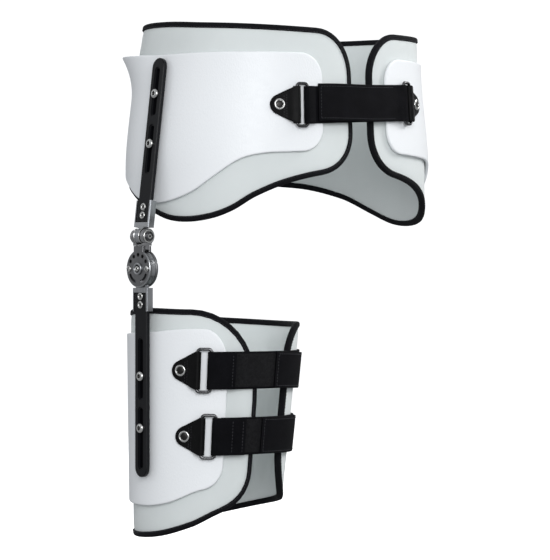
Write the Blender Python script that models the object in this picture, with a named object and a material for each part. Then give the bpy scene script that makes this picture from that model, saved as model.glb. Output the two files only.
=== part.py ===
"""Hip orthosis: a two-part pelvic girdle, a jointed side upright and a thigh cuff.

Frame: +Z up, the wearer faces -Y, the braced right leg is at -X.  The origin is the
middle of the pelvic ring at the height of the flexion hinge.  Sizes are in millimetres
here and are turned into metres as each mesh is made.
"""
import math

import bmesh
import bpy
from mathutils import Matrix, Vector

MM = 0.001

# ---------------------------------------------------------------- driving dimensions
GAP = 0.3                    # clearance between pieces that touch
LAYER_GAP = 1.1              # clearance between a shell and the liner under it

SHELL_T = 3.5                # thermoplastic thickness
LINER_T = 9.0                # foam liner thickness
BINDING_W = 6.0              # visible width of the edge binding
BINDING_PROUD = 0.8          # how far the binding stands above the liner

WAIST_HALF_WIDTH = 161.5     # pelvic form, measured to the inside of the shell
WAIST_HALF_DEPTH = 135.0
HIP_HALF_WIDTH = 173.0
HIP_HALF_DEPTH = 139.0
WAIST_Z = 230.0
HIP_Z = 110.0
FORM_POWER = 2.4             # superellipse power of the pelvic form
BACK_FLAT = 7.0              # how much shallower the form is behind the hips
FLARE = 11.0                 # outward lip at the top of the shell behind the upright

THIGH_SIDE_X = -188.5        # the cuff's outermost line, parallel to the lower bar
THIGH_TOP_R = 97.0           # outer radius at THIGH_TOP_Z
THIGH_LOW_R = 86.0           # outer radius at THIGH_LOW_Z
THIGH_TOP_Z = -55.0
THIGH_LOW_Z = -250.0

UPRIGHT_X = -194.5           # middle plane of the hinge and the lower bar
BAR_W = 20.0
BAR_T = 5.0
SLOT_W = 6.0
SLOT_SINK_W = 9.0
SLOT_SINK = 0.9
UPRIGHT_TILT = math.radians(7.5)
ABDUCTION_Z = 34.7
HINGE_R = 20.0
PLATE_T = 3.1
ROTOR_T = 5.2

STRAP_W = 40.0
STRAP_T = 2.0
RING_WIRE_R = 1.7
RING_H = 45.4                # height of the ring between its wire centres
THIGH_STRAP_Z = (-108.0, -178.0)
PELVIC_RING_W = 12.0         # width of a girdle ring between its wire centres
THIGH_RING_W = 14.5
PELVIC_RING_ANGLE = {"front": (33.0, 27.0), "back": (149.0, 149.0)}    # right, left
PELVIC_RING_Z = {"front": (174.0, 182.0), "back": (174.0, 174.0)}
PELVIC_TAIL_END = {"front": 26.0, "back": 155.0}
THIGH_RING_ANGLE = (46.4, 42.1)
THIGH_TAIL_END = (26.5, 17.5)
TAB_REACH = 28.0             # from the ring's bar to the tab's tip
TAB_TIP_R = 11.0
RIVET_REACH = 18.0           # from the ring's bar to the tab's rivet
RIVET_HOLE_R = 2.3

BAR_REST = 0.4               # first layer's height above the shell
RING_LIFT = BAR_REST + STRAP_T + GAP + RING_WIRE_R
LOOP_R = RING_WIRE_R + GAP + STRAP_T / 2
LOW_LAYER = BAR_REST + STRAP_T / 2
TOP_LAYER = LOW_LAYER + STRAP_T + 0.5

COLORS = {
    "shell": (0.86, 0.88, 0.89, 1.0),
    "liner": (0.60, 0.65, 0.66, 1.0),
    "webbing": (0.012, 0.012, 0.014, 1.0),
    "bar": (0.02, 0.021, 0.024, 1.0),
    "steel": (0.55, 0.55, 0.56, 1.0),
    "gunmetal": (0.22, 0.22, 0.23, 1.0),
    "nickel": (0.72, 0.71, 0.69, 1.0),
}
FINISH = {                   # roughness, metallic
    "shell": (0.5, 0.0),
    "liner": (0.9, 0.0),
    "webbing": (0.85, 0.0),
    "bar": (0.4, 0.3),
    "steel": (0.35, 1.0),
    "gunmetal": (0.35, 1.0),
    "nickel": (0.2, 1.0),
}


# ---------------------------------------------------------------- scene helpers
def clear_scene():
    for thing in list(bpy.data.objects):
        bpy.data.objects.remove(thing, do_unlink=True)


def material(kind):
    name = "mat_" + kind
    found = bpy.data.materials.get(name)
    if found:
        return found
    made = bpy.data.materials.new(name)
    made.use_nodes = True
    shader = made.node_tree.nodes["Principled BSDF"]
    shader.inputs["Base Color"].default_value = COLORS[kind]
    shader.inputs["Roughness"].default_value = FINISH[kind][0]
    shader.inputs["Metallic"].default_value = FINISH[kind][1]
    return made


def empty(name, location, rotation=(0, 0, 0), parent=None):
    made = bpy.data.objects.new(name, None)
    made.location = Vector(location) * MM
    made.rotation_euler = rotation
    bpy.context.scene.collection.objects.link(made)
    if parent:
        made.parent = parent
        made.matrix_parent_inverse = world_matrix(parent).inverted()
    return made


def world_matrix(thing):
    local = Matrix.LocRotScale(thing.location, thing.rotation_euler, None)
    if thing.parent:
        return world_matrix(thing.parent) @ thing.matrix_parent_inverse @ local
    return local


def solid(name, kind, mesh_bm, parent=None, origin=None, matrix=None):
    """Make an object from a bmesh whose coordinates are in millimetres.

    With a matrix, the coordinates are local to that placement; otherwise they are world
    coordinates and the object's own origin is set at `origin`.
    """
    placed = matrix or Matrix.Translation(Vector(origin or (0, 0, 0)))
    if matrix is None:
        bmesh.ops.transform(mesh_bm, matrix=placed.inverted(), verts=mesh_bm.verts)
    bmesh.ops.scale(mesh_bm, vec=(MM, MM, MM), verts=mesh_bm.verts)
    bmesh.ops.recalc_face_normals(mesh_bm, faces=mesh_bm.faces)
    data = bpy.data.meshes.new(name)
    mesh_bm.to_mesh(data)
    mesh_bm.free()
    data.shade_smooth()
    data.set_sharp_from_angle(angle=math.radians(35))
    data.materials.append(material(kind))
    made = bpy.data.objects.new(name, data)
    bpy.context.scene.collection.objects.link(made)
    made.location = placed.to_translation() * MM
    made.rotation_euler = placed.to_euler()
    if parent:
        made.parent = parent
        made.matrix_parent_inverse = world_matrix(parent).inverted()
    return made


def combine(target, tools, operation="DIFFERENCE"):
    """Join or cut `target` with other solids, which are then removed."""
    for tool in tools:
        step = target.modifiers.new("combine", "BOOLEAN")
        step.operation = operation
        step.solver = "EXACT"
        step.object = tool
    bpy.context.view_layer.update()
    graph = bpy.context.evaluated_depsgraph_get()
    made = bpy.data.meshes.new_from_object(target.evaluated_get(graph))
    target.modifiers.clear()
    target.data = made
    for tool in tools:
        bpy.data.objects.remove(tool, do_unlink=True)
    made.shade_smooth()
    made.set_sharp_from_angle(angle=math.radians(35))
    return target


# ---------------------------------------------------------------- basic shapes
def box_bm(x, y, z):
    """A box from three (low, high) pairs."""
    made = bmesh.new()
    bmesh.ops.create_cube(made, size=1.0)
    for vert in made.verts:
        vert.co = Vector([low + (high - low) * (value + 0.5)
                          for value, (low, high) in zip(vert.co, (x, y, z))])
    return made


def turned_bm(profile, segments):
    """Revolve (radius, height) points about Z; the first and last sit on the axis."""
    made = bmesh.new()
    rings = []
    for radius, height in profile:
        if radius == 0:
            rings.append([made.verts.new((0, 0, height))])
            continue
        turns = [2 * math.pi * k / segments for k in range(segments)]
        rings.append([made.verts.new((radius * math.cos(t), radius * math.sin(t), height))
                      for t in turns])
    for lower, upper in zip(rings, rings[1:]):
        for k in range(segments):
            after = (k + 1) % segments
            if len(lower) == 1:
                made.faces.new((lower[0], upper[k], upper[after]))
            elif len(upper) == 1:
                made.faces.new((lower[k], upper[0], lower[after]))
            else:
                made.faces.new((lower[k], upper[k], upper[after], lower[after]))
    return made


def cylinder_bm(radius, low, high, segments=16):
    return turned_bm([(0, low), (radius, low), (radius, high), (0, high)], segments)


def aim(position, direction):
    """Placement with its +Z along `direction`."""
    turn = Vector(direction).to_track_quat("Z", "Y").to_matrix().to_4x4()
    return Matrix.Translation(Vector(position)) @ turn


def prism_bm(outline, x_low, x_high):
    """Extrude a (y, z) outline along X."""
    made = bmesh.new()
    verts = [made.verts.new((x_low, y, z)) for y, z in outline]
    face = made.faces.new(verts)
    grown = bmesh.ops.extrude_face_region(made, geom=[face])
    moved = [part for part in grown["geom"] if isinstance(part, bmesh.types.BMVert)]
    bmesh.ops.translate(made, vec=(x_high - x_low, 0, 0), verts=moved)
    return made


def arc(centre_y, centre_z, radius, start, end, steps):
    """Points on an arc in the YZ plane; angles in degrees from +Y towards +Z."""
    turns = [math.radians(start + (end - start) * k / steps) for k in range(steps + 1)]
    return [(centre_y + radius * math.cos(t), centre_z + radius * math.sin(t)) for t in turns]


def stadium(half_width, z_low, z_high, steps=6):
    """An upright slot outline with round ends."""
    top = arc(0, z_high - half_width, half_width, 0, 180, steps)
    bottom = arc(0, z_low + half_width, half_width, 180, 360, steps)
    return top + bottom


# ---------------------------------------------------------------- body forms
def smoothstep(value):
    value = min(max(value, 0.0), 1.0)
    return value * value * (3 - 2 * value)


def curve(points):
    """A smooth curve through (angle, height) points."""
    def value(angle):
        if angle <= points[0][0]:
            return points[0][1]
        if angle >= points[-1][0]:
            return points[-1][1]
        k = max(i for i in range(len(points) - 1) if points[i][0] <= angle)
        before = points[max(k - 1, 0)]
        start = points[k]
        end = points[k + 1]
        after = points[min(k + 2, len(points) - 1)]
        span = end[0] - start[0]
        t = (angle - start[0]) / span
        slope_in = (end[1] - before[1]) / (end[0] - before[0]) * span
        slope_out = (after[1] - start[1]) / (after[0] - start[0]) * span
        return ((2 * t ** 3 - 3 * t ** 2 + 1) * start[1] + (t ** 3 - 2 * t ** 2 + t) * slope_in
                + (3 * t ** 2 - 2 * t ** 3) * end[1] + (t ** 3 - t ** 2) * slope_out)
    return value


def pelvic_point(angle, z, offset):
    """Point at an offset from the pelvic form; the angle runs from front to right hip."""
    wide = smoothstep((WAIST_Z - z) / (WAIST_Z - HIP_Z))
    half_width = WAIST_HALF_WIDTH + (HIP_HALF_WIDTH - WAIST_HALF_WIDTH) * wide
    half_depth = WAIST_HALF_DEPTH + (HIP_HALF_DEPTH - WAIST_HALF_DEPTH) * wide
    turn = math.radians(angle)
    if math.cos(turn) < 0:
        half_depth -= BACK_FLAT
    side = abs(math.sin(turn) / half_width) ** FORM_POWER
    front = abs(math.cos(turn) / half_depth) ** FORM_POWER
    radius = (side + front) ** (-1 / FORM_POWER)
    x = -radius * math.sin(turn)
    y = -radius * math.cos(turn)
    steep = FORM_POWER - 1
    normal = Vector((math.copysign(abs(x / half_width) ** steep / half_width, x),
                     math.copysign(abs(y / half_depth) ** steep / half_depth, y))).normalized()
    return Vector((x + normal.x * offset, y + normal.y * offset, z))


def thigh_point(angle, z, offset):
    """Point on the thigh form; offset 0 is the inside of the thigh shell."""
    taper = (THIGH_TOP_R - THIGH_LOW_R) / (THIGH_TOP_Z - THIGH_LOW_Z)
    outer = THIGH_LOW_R + (z - THIGH_LOW_Z) * taper
    centre_x = THIGH_SIDE_X + outer
    radius = outer - SHELL_T + offset
    turn = math.radians(angle)
    return Vector((centre_x - radius * math.sin(turn), -radius * math.cos(turn), z))


def outward(form, angle, z):
    """Unit normal of a form."""
    around = form(angle + 0.5, z, 0) - form(angle - 0.5, z, 0)
    upward = form(angle, z + 1, 0) - form(angle, z - 1, 0)
    normal = around.cross(upward).normalized()
    away = form(angle, z, 10) - form(angle, z, 0)
    return normal if normal.dot(away) > 0 else -normal


def degrees_per_mm(form, angle, z):
    step = (form(angle + 0.5, z, SHELL_T) - form(angle - 0.5, z, SHELL_T)).length
    return 1.0 / step


class Outline:
    """A panel's edge on a form: two ends, a lower and an upper curve, four round corners.

    Corners are (width in degrees, height in mm), in the order start-low, start-high,
    end-low, end-high.
    """

    def __init__(self, form, start, end, low, high, corners, columns):
        self.form = form
        self.start = start
        self.end = end
        self.low = curve(low)
        self.high = curve(high)
        self.corners = corners
        self.columns = columns

    def angles(self, inset):
        """Column angles, closer together where the corners turn."""
        per_mm = degrees_per_mm(self.form, self.start, self.low(self.start))
        start = self.start + inset * per_mm
        end = self.end - inset * per_mm
        lead = max(self.corners[0][0], self.corners[1][0])
        tail = max(self.corners[2][0], self.corners[3][0])
        turn = 4
        first = [start + lead * (1 - math.cos(math.pi / 2 * k / turn)) for k in range(turn)]
        last = [end - tail * (1 - math.cos(math.pi / 2 * k / turn)) for k in range(turn)]
        middle = self.columns
        span = (end - tail) - (start + lead)
        between = [start + lead + span * k / middle for k in range(middle + 1)]
        return first + between + last[::-1], start, end

    def heights(self, angle, start, end, inset):
        low = self.low(angle) + inset
        high = self.high(angle) - inset
        for index, from_edge in enumerate((angle - start, angle - start, end - angle, end - angle)):
            width, height = self.corners[index]
            if from_edge >= width:
                continue
            near = 1 - from_edge / width
            drop = height * (1 - math.sqrt(max(0.0, 1 - near * near)))
            if index % 2 == 0:
                low += drop
            else:
                high -= drop
        return low, high

    def grid(self, inset, rows):
        """Columns of (angle, height) points."""
        found, start, end = self.angles(inset)
        made = []
        for angle in found:
            low, high = self.heights(angle, start, end, inset)
            made.append([(angle, low + (high - low) * k / rows) for k in range(rows + 1)])
        return made

    def edge(self, inset, rows):
        """The closed loop of (angle, height) points round the panel."""
        made = self.grid(inset, rows)
        lower = [column[0] for column in made]
        upper = [column[-1] for column in made]
        return lower + made[-1][1:-1] + upper[::-1] + made[0][-2:0:-1]


# ---------------------------------------------------------------- soft and shell panels
def panel_bm(outline, inner, outer, inset=0.0, rows=6, flip=1, lift=None):
    """A curved plate between two offsets of the form.  `flip` -1 makes the mirror image."""
    columns = outline.grid(inset, rows)
    lifted = lift or (lambda angle, z: 0.0)
    made = bmesh.new()

    def layer(offset):
        return [[made.verts.new(mirrored(outline.form(a, z, offset + lifted(a, z)), flip))
                 for a, z in column] for column in columns]

    inside = layer(inner)
    outside = layer(outer)
    last = len(columns) - 1
    for i in range(last):
        for j in range(rows):
            for sheet in (inside, outside):
                made.faces.new((sheet[i][j], sheet[i + 1][j], sheet[i + 1][j + 1], sheet[i][j + 1]))
        for j in (0, rows):
            made.faces.new((inside[i][j], inside[i + 1][j], outside[i + 1][j], outside[i][j]))
    for j in range(rows):
        for i in (0, last):
            made.faces.new((inside[i][j], inside[i][j + 1], outside[i][j + 1], outside[i][j]))
    return made


def mirrored(point, flip):
    return Vector((point.x * flip, point.y, point.z))


def band_bm(outline, width, inner, outer, rows, flip=1):
    """The edge binding: a closed band between a panel's edge and its inset."""
    made = bmesh.new()
    loops = []
    for inset, offset in ((0, inner), (0, outer), (width, outer), (width, inner)):
        loops.append([made.verts.new(mirrored(outline.form(a, z, offset), flip))
                      for a, z in outline.edge(inset, rows)])
    count = len(loops[0])
    for k in range(count):
        after = (k + 1) % count
        for one, two in zip(loops, loops[1:] + loops[:1]):
            made.faces.new((one[k], one[after], two[after], two[k]))
    return made


def ribbon_bm(form, path, z, half_heights, thickness=STRAP_T, flip=1, rises=None):
    """A strip of webbing: (angle, offset) points along its middle, standing upright.

    `rises` gives each point's height above z.
    """
    rises = rises or [0.0] * len(path)
    made = bmesh.new()
    sides = []
    for level in (-1, 1):
        middle = [form(angle, z + rise + level * half, offset)
                  for (angle, offset), half, rise in zip(path, half_heights, rises)]
        for side in (-1, 1):
            row = []
            for k, point in enumerate(middle):
                before = middle[max(k - 1, 0)]
                after = middle[min(k + 1, len(middle) - 1)]
                along = Vector((after.x - before.x, after.y - before.y))
                across = Vector((-along.y, along.x)).normalized() * side * thickness / 2
                spot = Vector((point.x + across.x, point.y + across.y, point.z))
                row.append(made.verts.new(mirrored(spot, flip)))
            sides.append(row)
    low_in, low_out, high_in, high_out = sides
    ring = (low_in, low_out, high_out, high_in)
    for k in range(len(path) - 1):
        for one, two in zip(ring, ring[1:] + ring[:1]):
            made.faces.new((one[k], one[k + 1], two[k + 1], two[k]))
    for k in (0, len(path) - 1):
        made.faces.new([row[k] for row in ring])
    return made


def loop_points(turn, low_first):
    """Half a turn round a ring's wire in (along, offset) steps; `turn` is its bulge side."""
    angles = [-90 + 180 * k / 6 for k in range(7)]
    made = [(turn * LOOP_R * math.cos(math.radians(a)), RING_LIFT + LOOP_R * math.sin(math.radians(a)))
            for a in angles]
    return made if low_first else made[::-1]


def along_form(form, angle, z, points, sense):
    """Turn (mm along the form, offset above the shell) into (angle, offset)."""
    per_mm = degrees_per_mm(form, angle, z)
    return [(angle + sense * u * per_mm, SHELL_T + w) for u, w in points]


def ring_bm(form, angle, z, width, flip=1):
    """A rectangular wire ring lying on the form."""
    per_mm = degrees_per_mm(form, angle, z)
    bend = 3.5
    half_u = width / 2
    half_z = RING_H / 2
    path = []
    for cu, cz, first in ((1, 1, 0), (-1, 1, 90), (-1, -1, 180), (1, -1, 270)):
        for k in range(3):
            t = math.radians(first + 45 * k)
            path.append((cu * (half_u - bend) + bend * math.cos(t),
                         cz * (half_z - bend) + bend * math.sin(t)))
    centre = [form(angle + u * per_mm, z + v, SHELL_T + RING_LIFT) for u, v in path]
    normal = outward(form, angle, z)
    made = bmesh.new()
    sides = 6
    rings = []
    for k, point in enumerate(centre):
        along = (centre[(k + 1) % len(centre)] - centre[k - 1]).normalized()
        across = along.cross(normal).normalized()
        level = across.cross(along)
        turns = [2 * math.pi * s / sides for s in range(sides)]
        spots = [point + across * math.cos(t) * RING_WIRE_R + level * math.sin(t) * RING_WIRE_R
                 for t in turns]
        rings.append([made.verts.new(mirrored(spot, flip)) for spot in spots])
    for k in range(len(rings)):
        after = rings[(k + 1) % len(rings)]
        for s in range(sides):
            up = (s + 1) % sides
            made.faces.new((rings[k][s], rings[k][up], after[up], after[s]))
    return made


# ---------------------------------------------------------------- fasteners
def drill(position, direction, radius, low, high):
    """A cutter along a fastener's axis."""
    return solid("cutter", "steel", cylinder_bm(radius, low, high), matrix=aim(position, direction))


def eyelet_profile(head_r, base, shank_r, shank_end):
    """A ring-shaped rivet head with a sunk middle, and its shank."""
    hole = head_r * 0.42
    return [(0, shank_end), (shank_r, shank_end), (shank_r, base), (head_r, base),
            (head_r, base + 1.0), (head_r * 0.78, base + 2.0), (hole * 1.25, base + 1.9),
            (hole, base + 0.5), (0, base + 0.5)]


def pan_screw_profile(base, shank_end):
    """A pan head with a socket, and its shank."""
    return [(0, shank_end), (2.4, shank_end), (2.4, base), (5.2, base), (5.2, base + 1.2),
            (4.2, base + 2.7), (2.1, base + 3.0), (2.1, base + 1.2), (0, base + 1.2)]


def nut_profile(reach):
    """A flanged sleeve nut: its flange lies under the shell and its barrel meets the bar."""
    bore = 2.8
    return [(bore, -1.5), (9.0, -1.5), (9.0, 0), (4.6, 0), (4.6, reach), (bore, reach)]


def sleeve_bm(profile, segments=12):
    """Revolve a closed profile that keeps clear of the axis."""
    made = bmesh.new()
    turns = [2 * math.pi * k / segments for k in range(segments)]
    rings = [[made.verts.new((r * math.cos(t), r * math.sin(t), h)) for t in turns]
             for r, h in profile]
    for one, two in zip(rings, rings[1:] + rings[:1]):
        for k in range(segments):
            after = (k + 1) % segments
            made.faces.new((one[k], one[after], two[after], two[k]))
    return made


# ---------------------------------------------------------------- outlines of the panels
PELVIC_LINER_LOW = ((5, 104), (22, 100), (38, 90), (50, 76), (58, 62), (66, 53.5), (76, 50),
                    (86, 53), (98, 66), (112, 84), (130, 96), (175, 100))
PELVIC_LINER_HIGH = ((5, 257), (38, 259), (70, 263), (90, 267), (108, 268), (135, 262), (175, 256))
PELVIC_SHELL_LOW = ((14, 127), (38, 124), (48, 122), (56, 115.5), (65, 98), (74, 81), (88, 71),
                    (100, 76), (112, 94), (126, 108), (162, 118))
PELVIC_SHELL_HIGH = ((14, 230), (90, 231), (120, 234), (162, 230))
THIGH_LINER_LOW = ((4, -256), (29, -260), (52, -275), (84, -287), (130, -290), (200, -282),
                   (270, -262), (339, -246))
THIGH_LINER_HIGH = ((4, -44), (62, -43), (100, -42), (180, -50), (270, -57), (339, -57))
THIGH_SHELL_LOW = ((31, -231), (48, -236), (70, -249), (95, -254), (150, -250), (205, -238))
THIGH_SHELL_HIGH = ((31, -64), (60, -64), (90, -68), (205, -74))


def pelvic_liner_outline(start):
    corners = ((17, 42), (19, 50), (16, 34), (16, 34))
    return Outline(pelvic_point, start, 174, PELVIC_LINER_LOW, PELVIC_LINER_HIGH, corners, 19)


def pelvic_shell_outline(start):
    corners = ((9, 24), (10, 27), (10, 24), (10, 26))
    return Outline(pelvic_point, start, 160, PELVIC_SHELL_LOW, PELVIC_SHELL_HIGH, corners, 18)


THIGH_LINER = Outline(thigh_point, 7, 339, THIGH_LINER_LOW, THIGH_LINER_HIGH,
                      ((26, 40), (50, 98), (30, 60), (24, 38)), 26)
THIGH_SHELL = Outline(thigh_point, 31, 205, THIGH_SHELL_LOW, THIGH_SHELL_HIGH,
                      ((13, 22), (17, 44), (16, 30), (16, 30)), 16)


def shell_flare(angle, z):
    """The lip turned away from the body at the top of the shell, behind the upright."""
    reach = smoothstep((angle - 94) / 24) * (1 - smoothstep((angle - 135) / 22))
    rise = max(0.0, z - 186) / (WAIST_Z - 186)
    return FLARE * reach * rise * rise


# ---------------------------------------------------------------- strap closures
class Closure:
    """A tab, its rivet and its wire ring, and where a strap's fold passes round the ring."""

    def __init__(self, form, angle, z, sense, width, flip=1):
        """`angle` is the ring's middle; `sense` +1 has the tab at larger angles."""
        self.form = form
        self.z = z
        self.sense = sense
        self.flip = flip
        self.angle = angle
        self.width = width
        per_mm = degrees_per_mm(form, angle, z)
        self.tab_bar = angle + sense * width / 2 * per_mm
        self.strap_bar = angle - sense * width / 2 * per_mm
        self.rivet_angle = self.tab_bar + sense * RIVET_REACH * per_mm

    def make(self, names, parent, shell):
        """The tab, the rivet and the ring, in the order of their names."""
        form = self.form
        turns = [math.radians(t) for t in (15, 40, 65)]
        tip = [(TAB_REACH - TAB_TIP_R * (1 - math.cos(t)), LOW_LAYER) for t in turns]
        rise = [(18.0, LOW_LAYER), (12.2, LOW_LAYER + 0.1), (8.4, LOW_LAYER + 1.9),
                (4.5, TOP_LAYER + 1.9)]
        points = tip + rise + loop_points(-1, False) + [(3.0, LOW_LAYER)]
        path = along_form(form, self.tab_bar, self.z, points, self.sense)
        full = STRAP_W / 2
        halves = [TAB_TIP_R * math.sin(t) for t in turns]
        halves += [full - 8.2, full - 6.5, full - 4.0, full - 1.5] + [full] * 8
        tab = solid(names[0], "webbing", ribbon_bm(form, path, self.z, halves, flip=self.flip),
                    parent)
        spot = mirrored(form(self.rivet_angle, self.z, SHELL_T), self.flip)
        normal = mirrored(outward(form, self.rivet_angle, self.z), self.flip)
        combine(tab, [drill(spot, normal, RIVET_HOLE_R, -3, 8)])
        combine(shell, [drill(spot, normal, RIVET_HOLE_R, -8, 3)])
        head = BAR_REST + STRAP_T + GAP + 0.2
        rivet = eyelet_profile(6.2, head, 2.0, -SHELL_T + 0.2)
        solid(names[1], "nickel", turned_bm(rivet, 16), parent, matrix=aim(spot, normal))
        ring = ring_bm(form, self.angle, self.z, self.width, self.flip)
        solid(names[2], "gunmetal", ring, parent)


def strap_fold(form, bar, z, sense):
    """A tail's first part: from under the base, round the ring's wire and back on top."""
    points = [(1.2, LOW_LAYER)] + loop_points(-1, True)
    points += [(5.0, TOP_LAYER + 2.2), (11.0, TOP_LAYER + 0.6)]
    return along_form(form, bar, z, points, sense)


def strap_tail(name, form, path, z, bar, parent, rises=None):
    """A tail that turns about the ring's wire, with its axis along that wire."""
    axis = form(bar, z, SHELL_T + RING_LIFT)
    joint = empty(name + "_axis", axis, upright_lean(form, bar, z), parent)
    ribbon = ribbon_bm(form, path, z, [STRAP_W / 2] * len(path), rises=rises)
    solid(name, "webbing", ribbon, joint, origin=axis)


def upright_lean(form, angle, z):
    """Rotation that puts +Z along the form's upright line at an angle."""
    line = form(angle, z + 10, 0) - form(angle, z - 10, 0)
    return Vector((0, 0, 1)).rotation_difference(line).to_euler()


def pelvic_strap(prefix, bars, heights, tail_end, parent):
    """A strap between two pelvic closures: `bars` and `heights` are its rings' places.

    The base is sewn round the first ring; the tail turns round the second ring and lies
    back over the base.  The strap climbs evenly from one ring's height to the other's.
    """
    form = pelvic_point
    first, last = bars
    z, end_z = heights
    per_mm = degrees_per_mm(form, first, z)
    sense = -1 if first > last else 1

    def climb(path, base_z):
        shares = [min(max((angle - first) / (last - first), 0.0), 1.0) for angle, offset in path]
        return [z + (end_z - z) * share - base_z for share in shares]

    sewn = along_form(form, first, z, [(9.0, TOP_LAYER), (4.5, TOP_LAYER + 2.0)]
                      + loop_points(-1, False), sense)
    stop = last - sense * 5.0 * per_mm
    begin = first + sense * 4.0 * per_mm
    steps = 11
    run = [(begin + (stop - begin) * k / steps, SHELL_T + LOW_LAYER) for k in range(steps + 1)]
    path = sewn + run
    base = ribbon_bm(form, path, z, [STRAP_W / 2] * len(path), rises=climb(path, z))
    solid(prefix + "_strap_base", "webbing", base, parent)
    near = last - sense * 17.0 * per_mm
    rest = [(near + (tail_end - near) * k / 9, SHELL_T + TOP_LAYER) for k in range(10)]
    path = strap_fold(form, last, end_z, -sense) + rest
    strap_tail(prefix + "_strap_tail", form, path, end_z, last, parent, climb(path, end_z))


# ---------------------------------------------------------------- the pelvic girdle
def make_girdle(root):
    shells = {}
    for side, flip, shell_start, liner_start in (("right", 1, 23.0, 5.5), ("left", -1, 14.5, 5.0)):
        shell = panel_bm(pelvic_shell_outline(shell_start), 0, SHELL_T, rows=6, flip=flip,
                         lift=shell_flare)
        shells[side] = solid("pelvic_shell_" + side, "shell", shell, root)
        outline = pelvic_liner_outline(liner_start)
        back = -LAYER_GAP - LINER_T
        liner = panel_bm(outline, back, -LAYER_GAP, inset=BINDING_W + 0.5, rows=5, flip=flip)
        shells["liner_" + side] = solid("pelvic_liner_" + side, "liner", liner, root)
        binding = band_bm(outline, BINDING_W, back - BINDING_PROUD, -LAYER_GAP + BINDING_PROUD, 3, flip)
        solid("pelvic_binding_" + side, "webbing", binding, root)
    for end, middle, toward in (("front", 0.0, 1), ("back", 180.0, -1)):
        bars = []
        for place, (side, flip) in enumerate((("right", 1), ("left", -1))):
            closure = Closure(pelvic_point, PELVIC_RING_ANGLE[end][place],
                              PELVIC_RING_Z[end][place], toward, PELVIC_RING_W, flip)
            names = [end + "_" + kind + "_" + side for kind in ("tab", "rivet", "ring")]
            closure.make(names, root, shells[side])
            bars.append(closure.strap_bar)
        bars[1] = 2 * middle - bars[1]
        pelvic_strap(end, bars, PELVIC_RING_Z[end], PELVIC_TAIL_END[end], root)
    return shells


# ---------------------------------------------------------------- the side upright
def bar_bm(z_low, z_high, slots, round_top, round_bottom):
    """A flat bar in its own frame: outer face at -X, chamfered edges, two sunk slots."""
    half = BAR_W / 2
    top = arc(0, z_high - half, half, 0, 180, 10) if round_top else [(half, z_high), (-half, z_high)]
    bottom = arc(0, z_low + half, half, 180, 360, 10) if round_bottom else [(-half, z_low), (half, z_low)]
    made = prism_bm(top + bottom, -BAR_T / 2, BAR_T / 2)
    rims = [edge for edge in made.edges if abs(edge.verts[0].co.x - edge.verts[1].co.x) < 0.01]
    bmesh.ops.bevel(made, geom=rims, offset=0.8, segments=1, affect="EDGES")
    cutters = []
    for low, high in slots:
        cutters.append(prism_bm(stadium(SLOT_W / 2, low, high), -BAR_T, BAR_T))
        sink = (SLOT_SINK_W - SLOT_W) / 2
        outline = stadium(SLOT_SINK_W / 2, low - sink, high + sink)
        cutters.append(prism_bm(outline, -BAR_T, -BAR_T / 2 + SLOT_SINK))
    return made, cutters


def make_bar(name, parent, frame, z_low, z_high, slots, round_top, round_bottom, rivets):
    body, cutters = bar_bm(z_low, z_high, slots, round_top, round_bottom)
    bar = solid(name, "bar", body, parent, matrix=frame)
    tools = [solid("cutter", "bar", cutter, matrix=frame) for cutter in cutters]
    for z in rivets:
        spot = frame @ Vector((0, 0, z))
        tools.append(drill(spot, frame.to_3x3() @ Vector((-1, 0, 0)), 2.3, -8, 8))
    return combine(bar, tools)


WALL = 2.2                   # bracket wall thickness


def bracket_parts(z_closed, z_open):
    """A channel that holds a bar's end, closed at z_closed, as a block and its pocket."""
    back = BAR_T / 2 + GAP
    side = BAR_W / 2 + GAP
    block_z = (min(z_closed, z_open), max(z_closed, z_open))
    inner = z_closed + math.copysign(5.0, z_open - z_closed)
    pocket_end = z_open + math.copysign(5.0, z_open - z_closed)
    pocket_z = (min(inner, pocket_end), max(inner, pocket_end))
    block = box_bm((-BAR_T / 2 - 1.2, back + WALL), (-side - WALL, side + WALL), block_z)
    pocket = box_bm((-10, back), (-side, side), pocket_z)
    return block, pocket


def make_bracket(name, parent, frame, z_closed, z_open, rivets, extra):
    block, pocket = bracket_parts(z_closed, z_open)
    long_edges = [edge for edge in block.edges
                  if abs(edge.verts[0].co.z - edge.verts[1].co.z) > 1]
    bmesh.ops.bevel(block, geom=long_edges, offset=0.9, segments=2, affect="EDGES")
    bracket = solid(name, "steel", block, parent, matrix=frame)
    tools = [solid("cutter", "steel", pocket, matrix=frame)]
    for z in rivets:
        spot = frame @ Vector((0, 0, z))
        tools.append(drill(spot, frame.to_3x3() @ Vector((-1, 0, 0)), 2.3, -12, 12))
    combine(bracket, tools)
    if extra:
        combine(bracket, extra, "UNION")
    return bracket


def bracket_rivet(name, parent, frame, z):
    """An eyelet rivet through the bar and the bracket's back."""
    head = BAR_T / 2 + GAP
    profile = eyelet_profile(3.9, head, 2.0, -BAR_T / 2 - GAP - WALL + 0.2)
    spot = frame @ Vector((0, 0, z))
    turn = aim(spot, frame.to_3x3() @ Vector((-1, 0, 0)))
    solid(name, "nickel", turned_bm(profile, 14), parent, matrix=turn)


def across_bm(radius, low, high, segments=24):
    """A cylinder along Y."""
    made = cylinder_bm(radius, low, high, segments)
    bmesh.ops.rotate(made, matrix=Matrix.Rotation(-math.pi / 2, 3, "X"), verts=made.verts)
    return made


KNUCKLE_R = 8.5
KNUCKLE_HALF = 4.2
YOKE_HALF = 10.2


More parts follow.
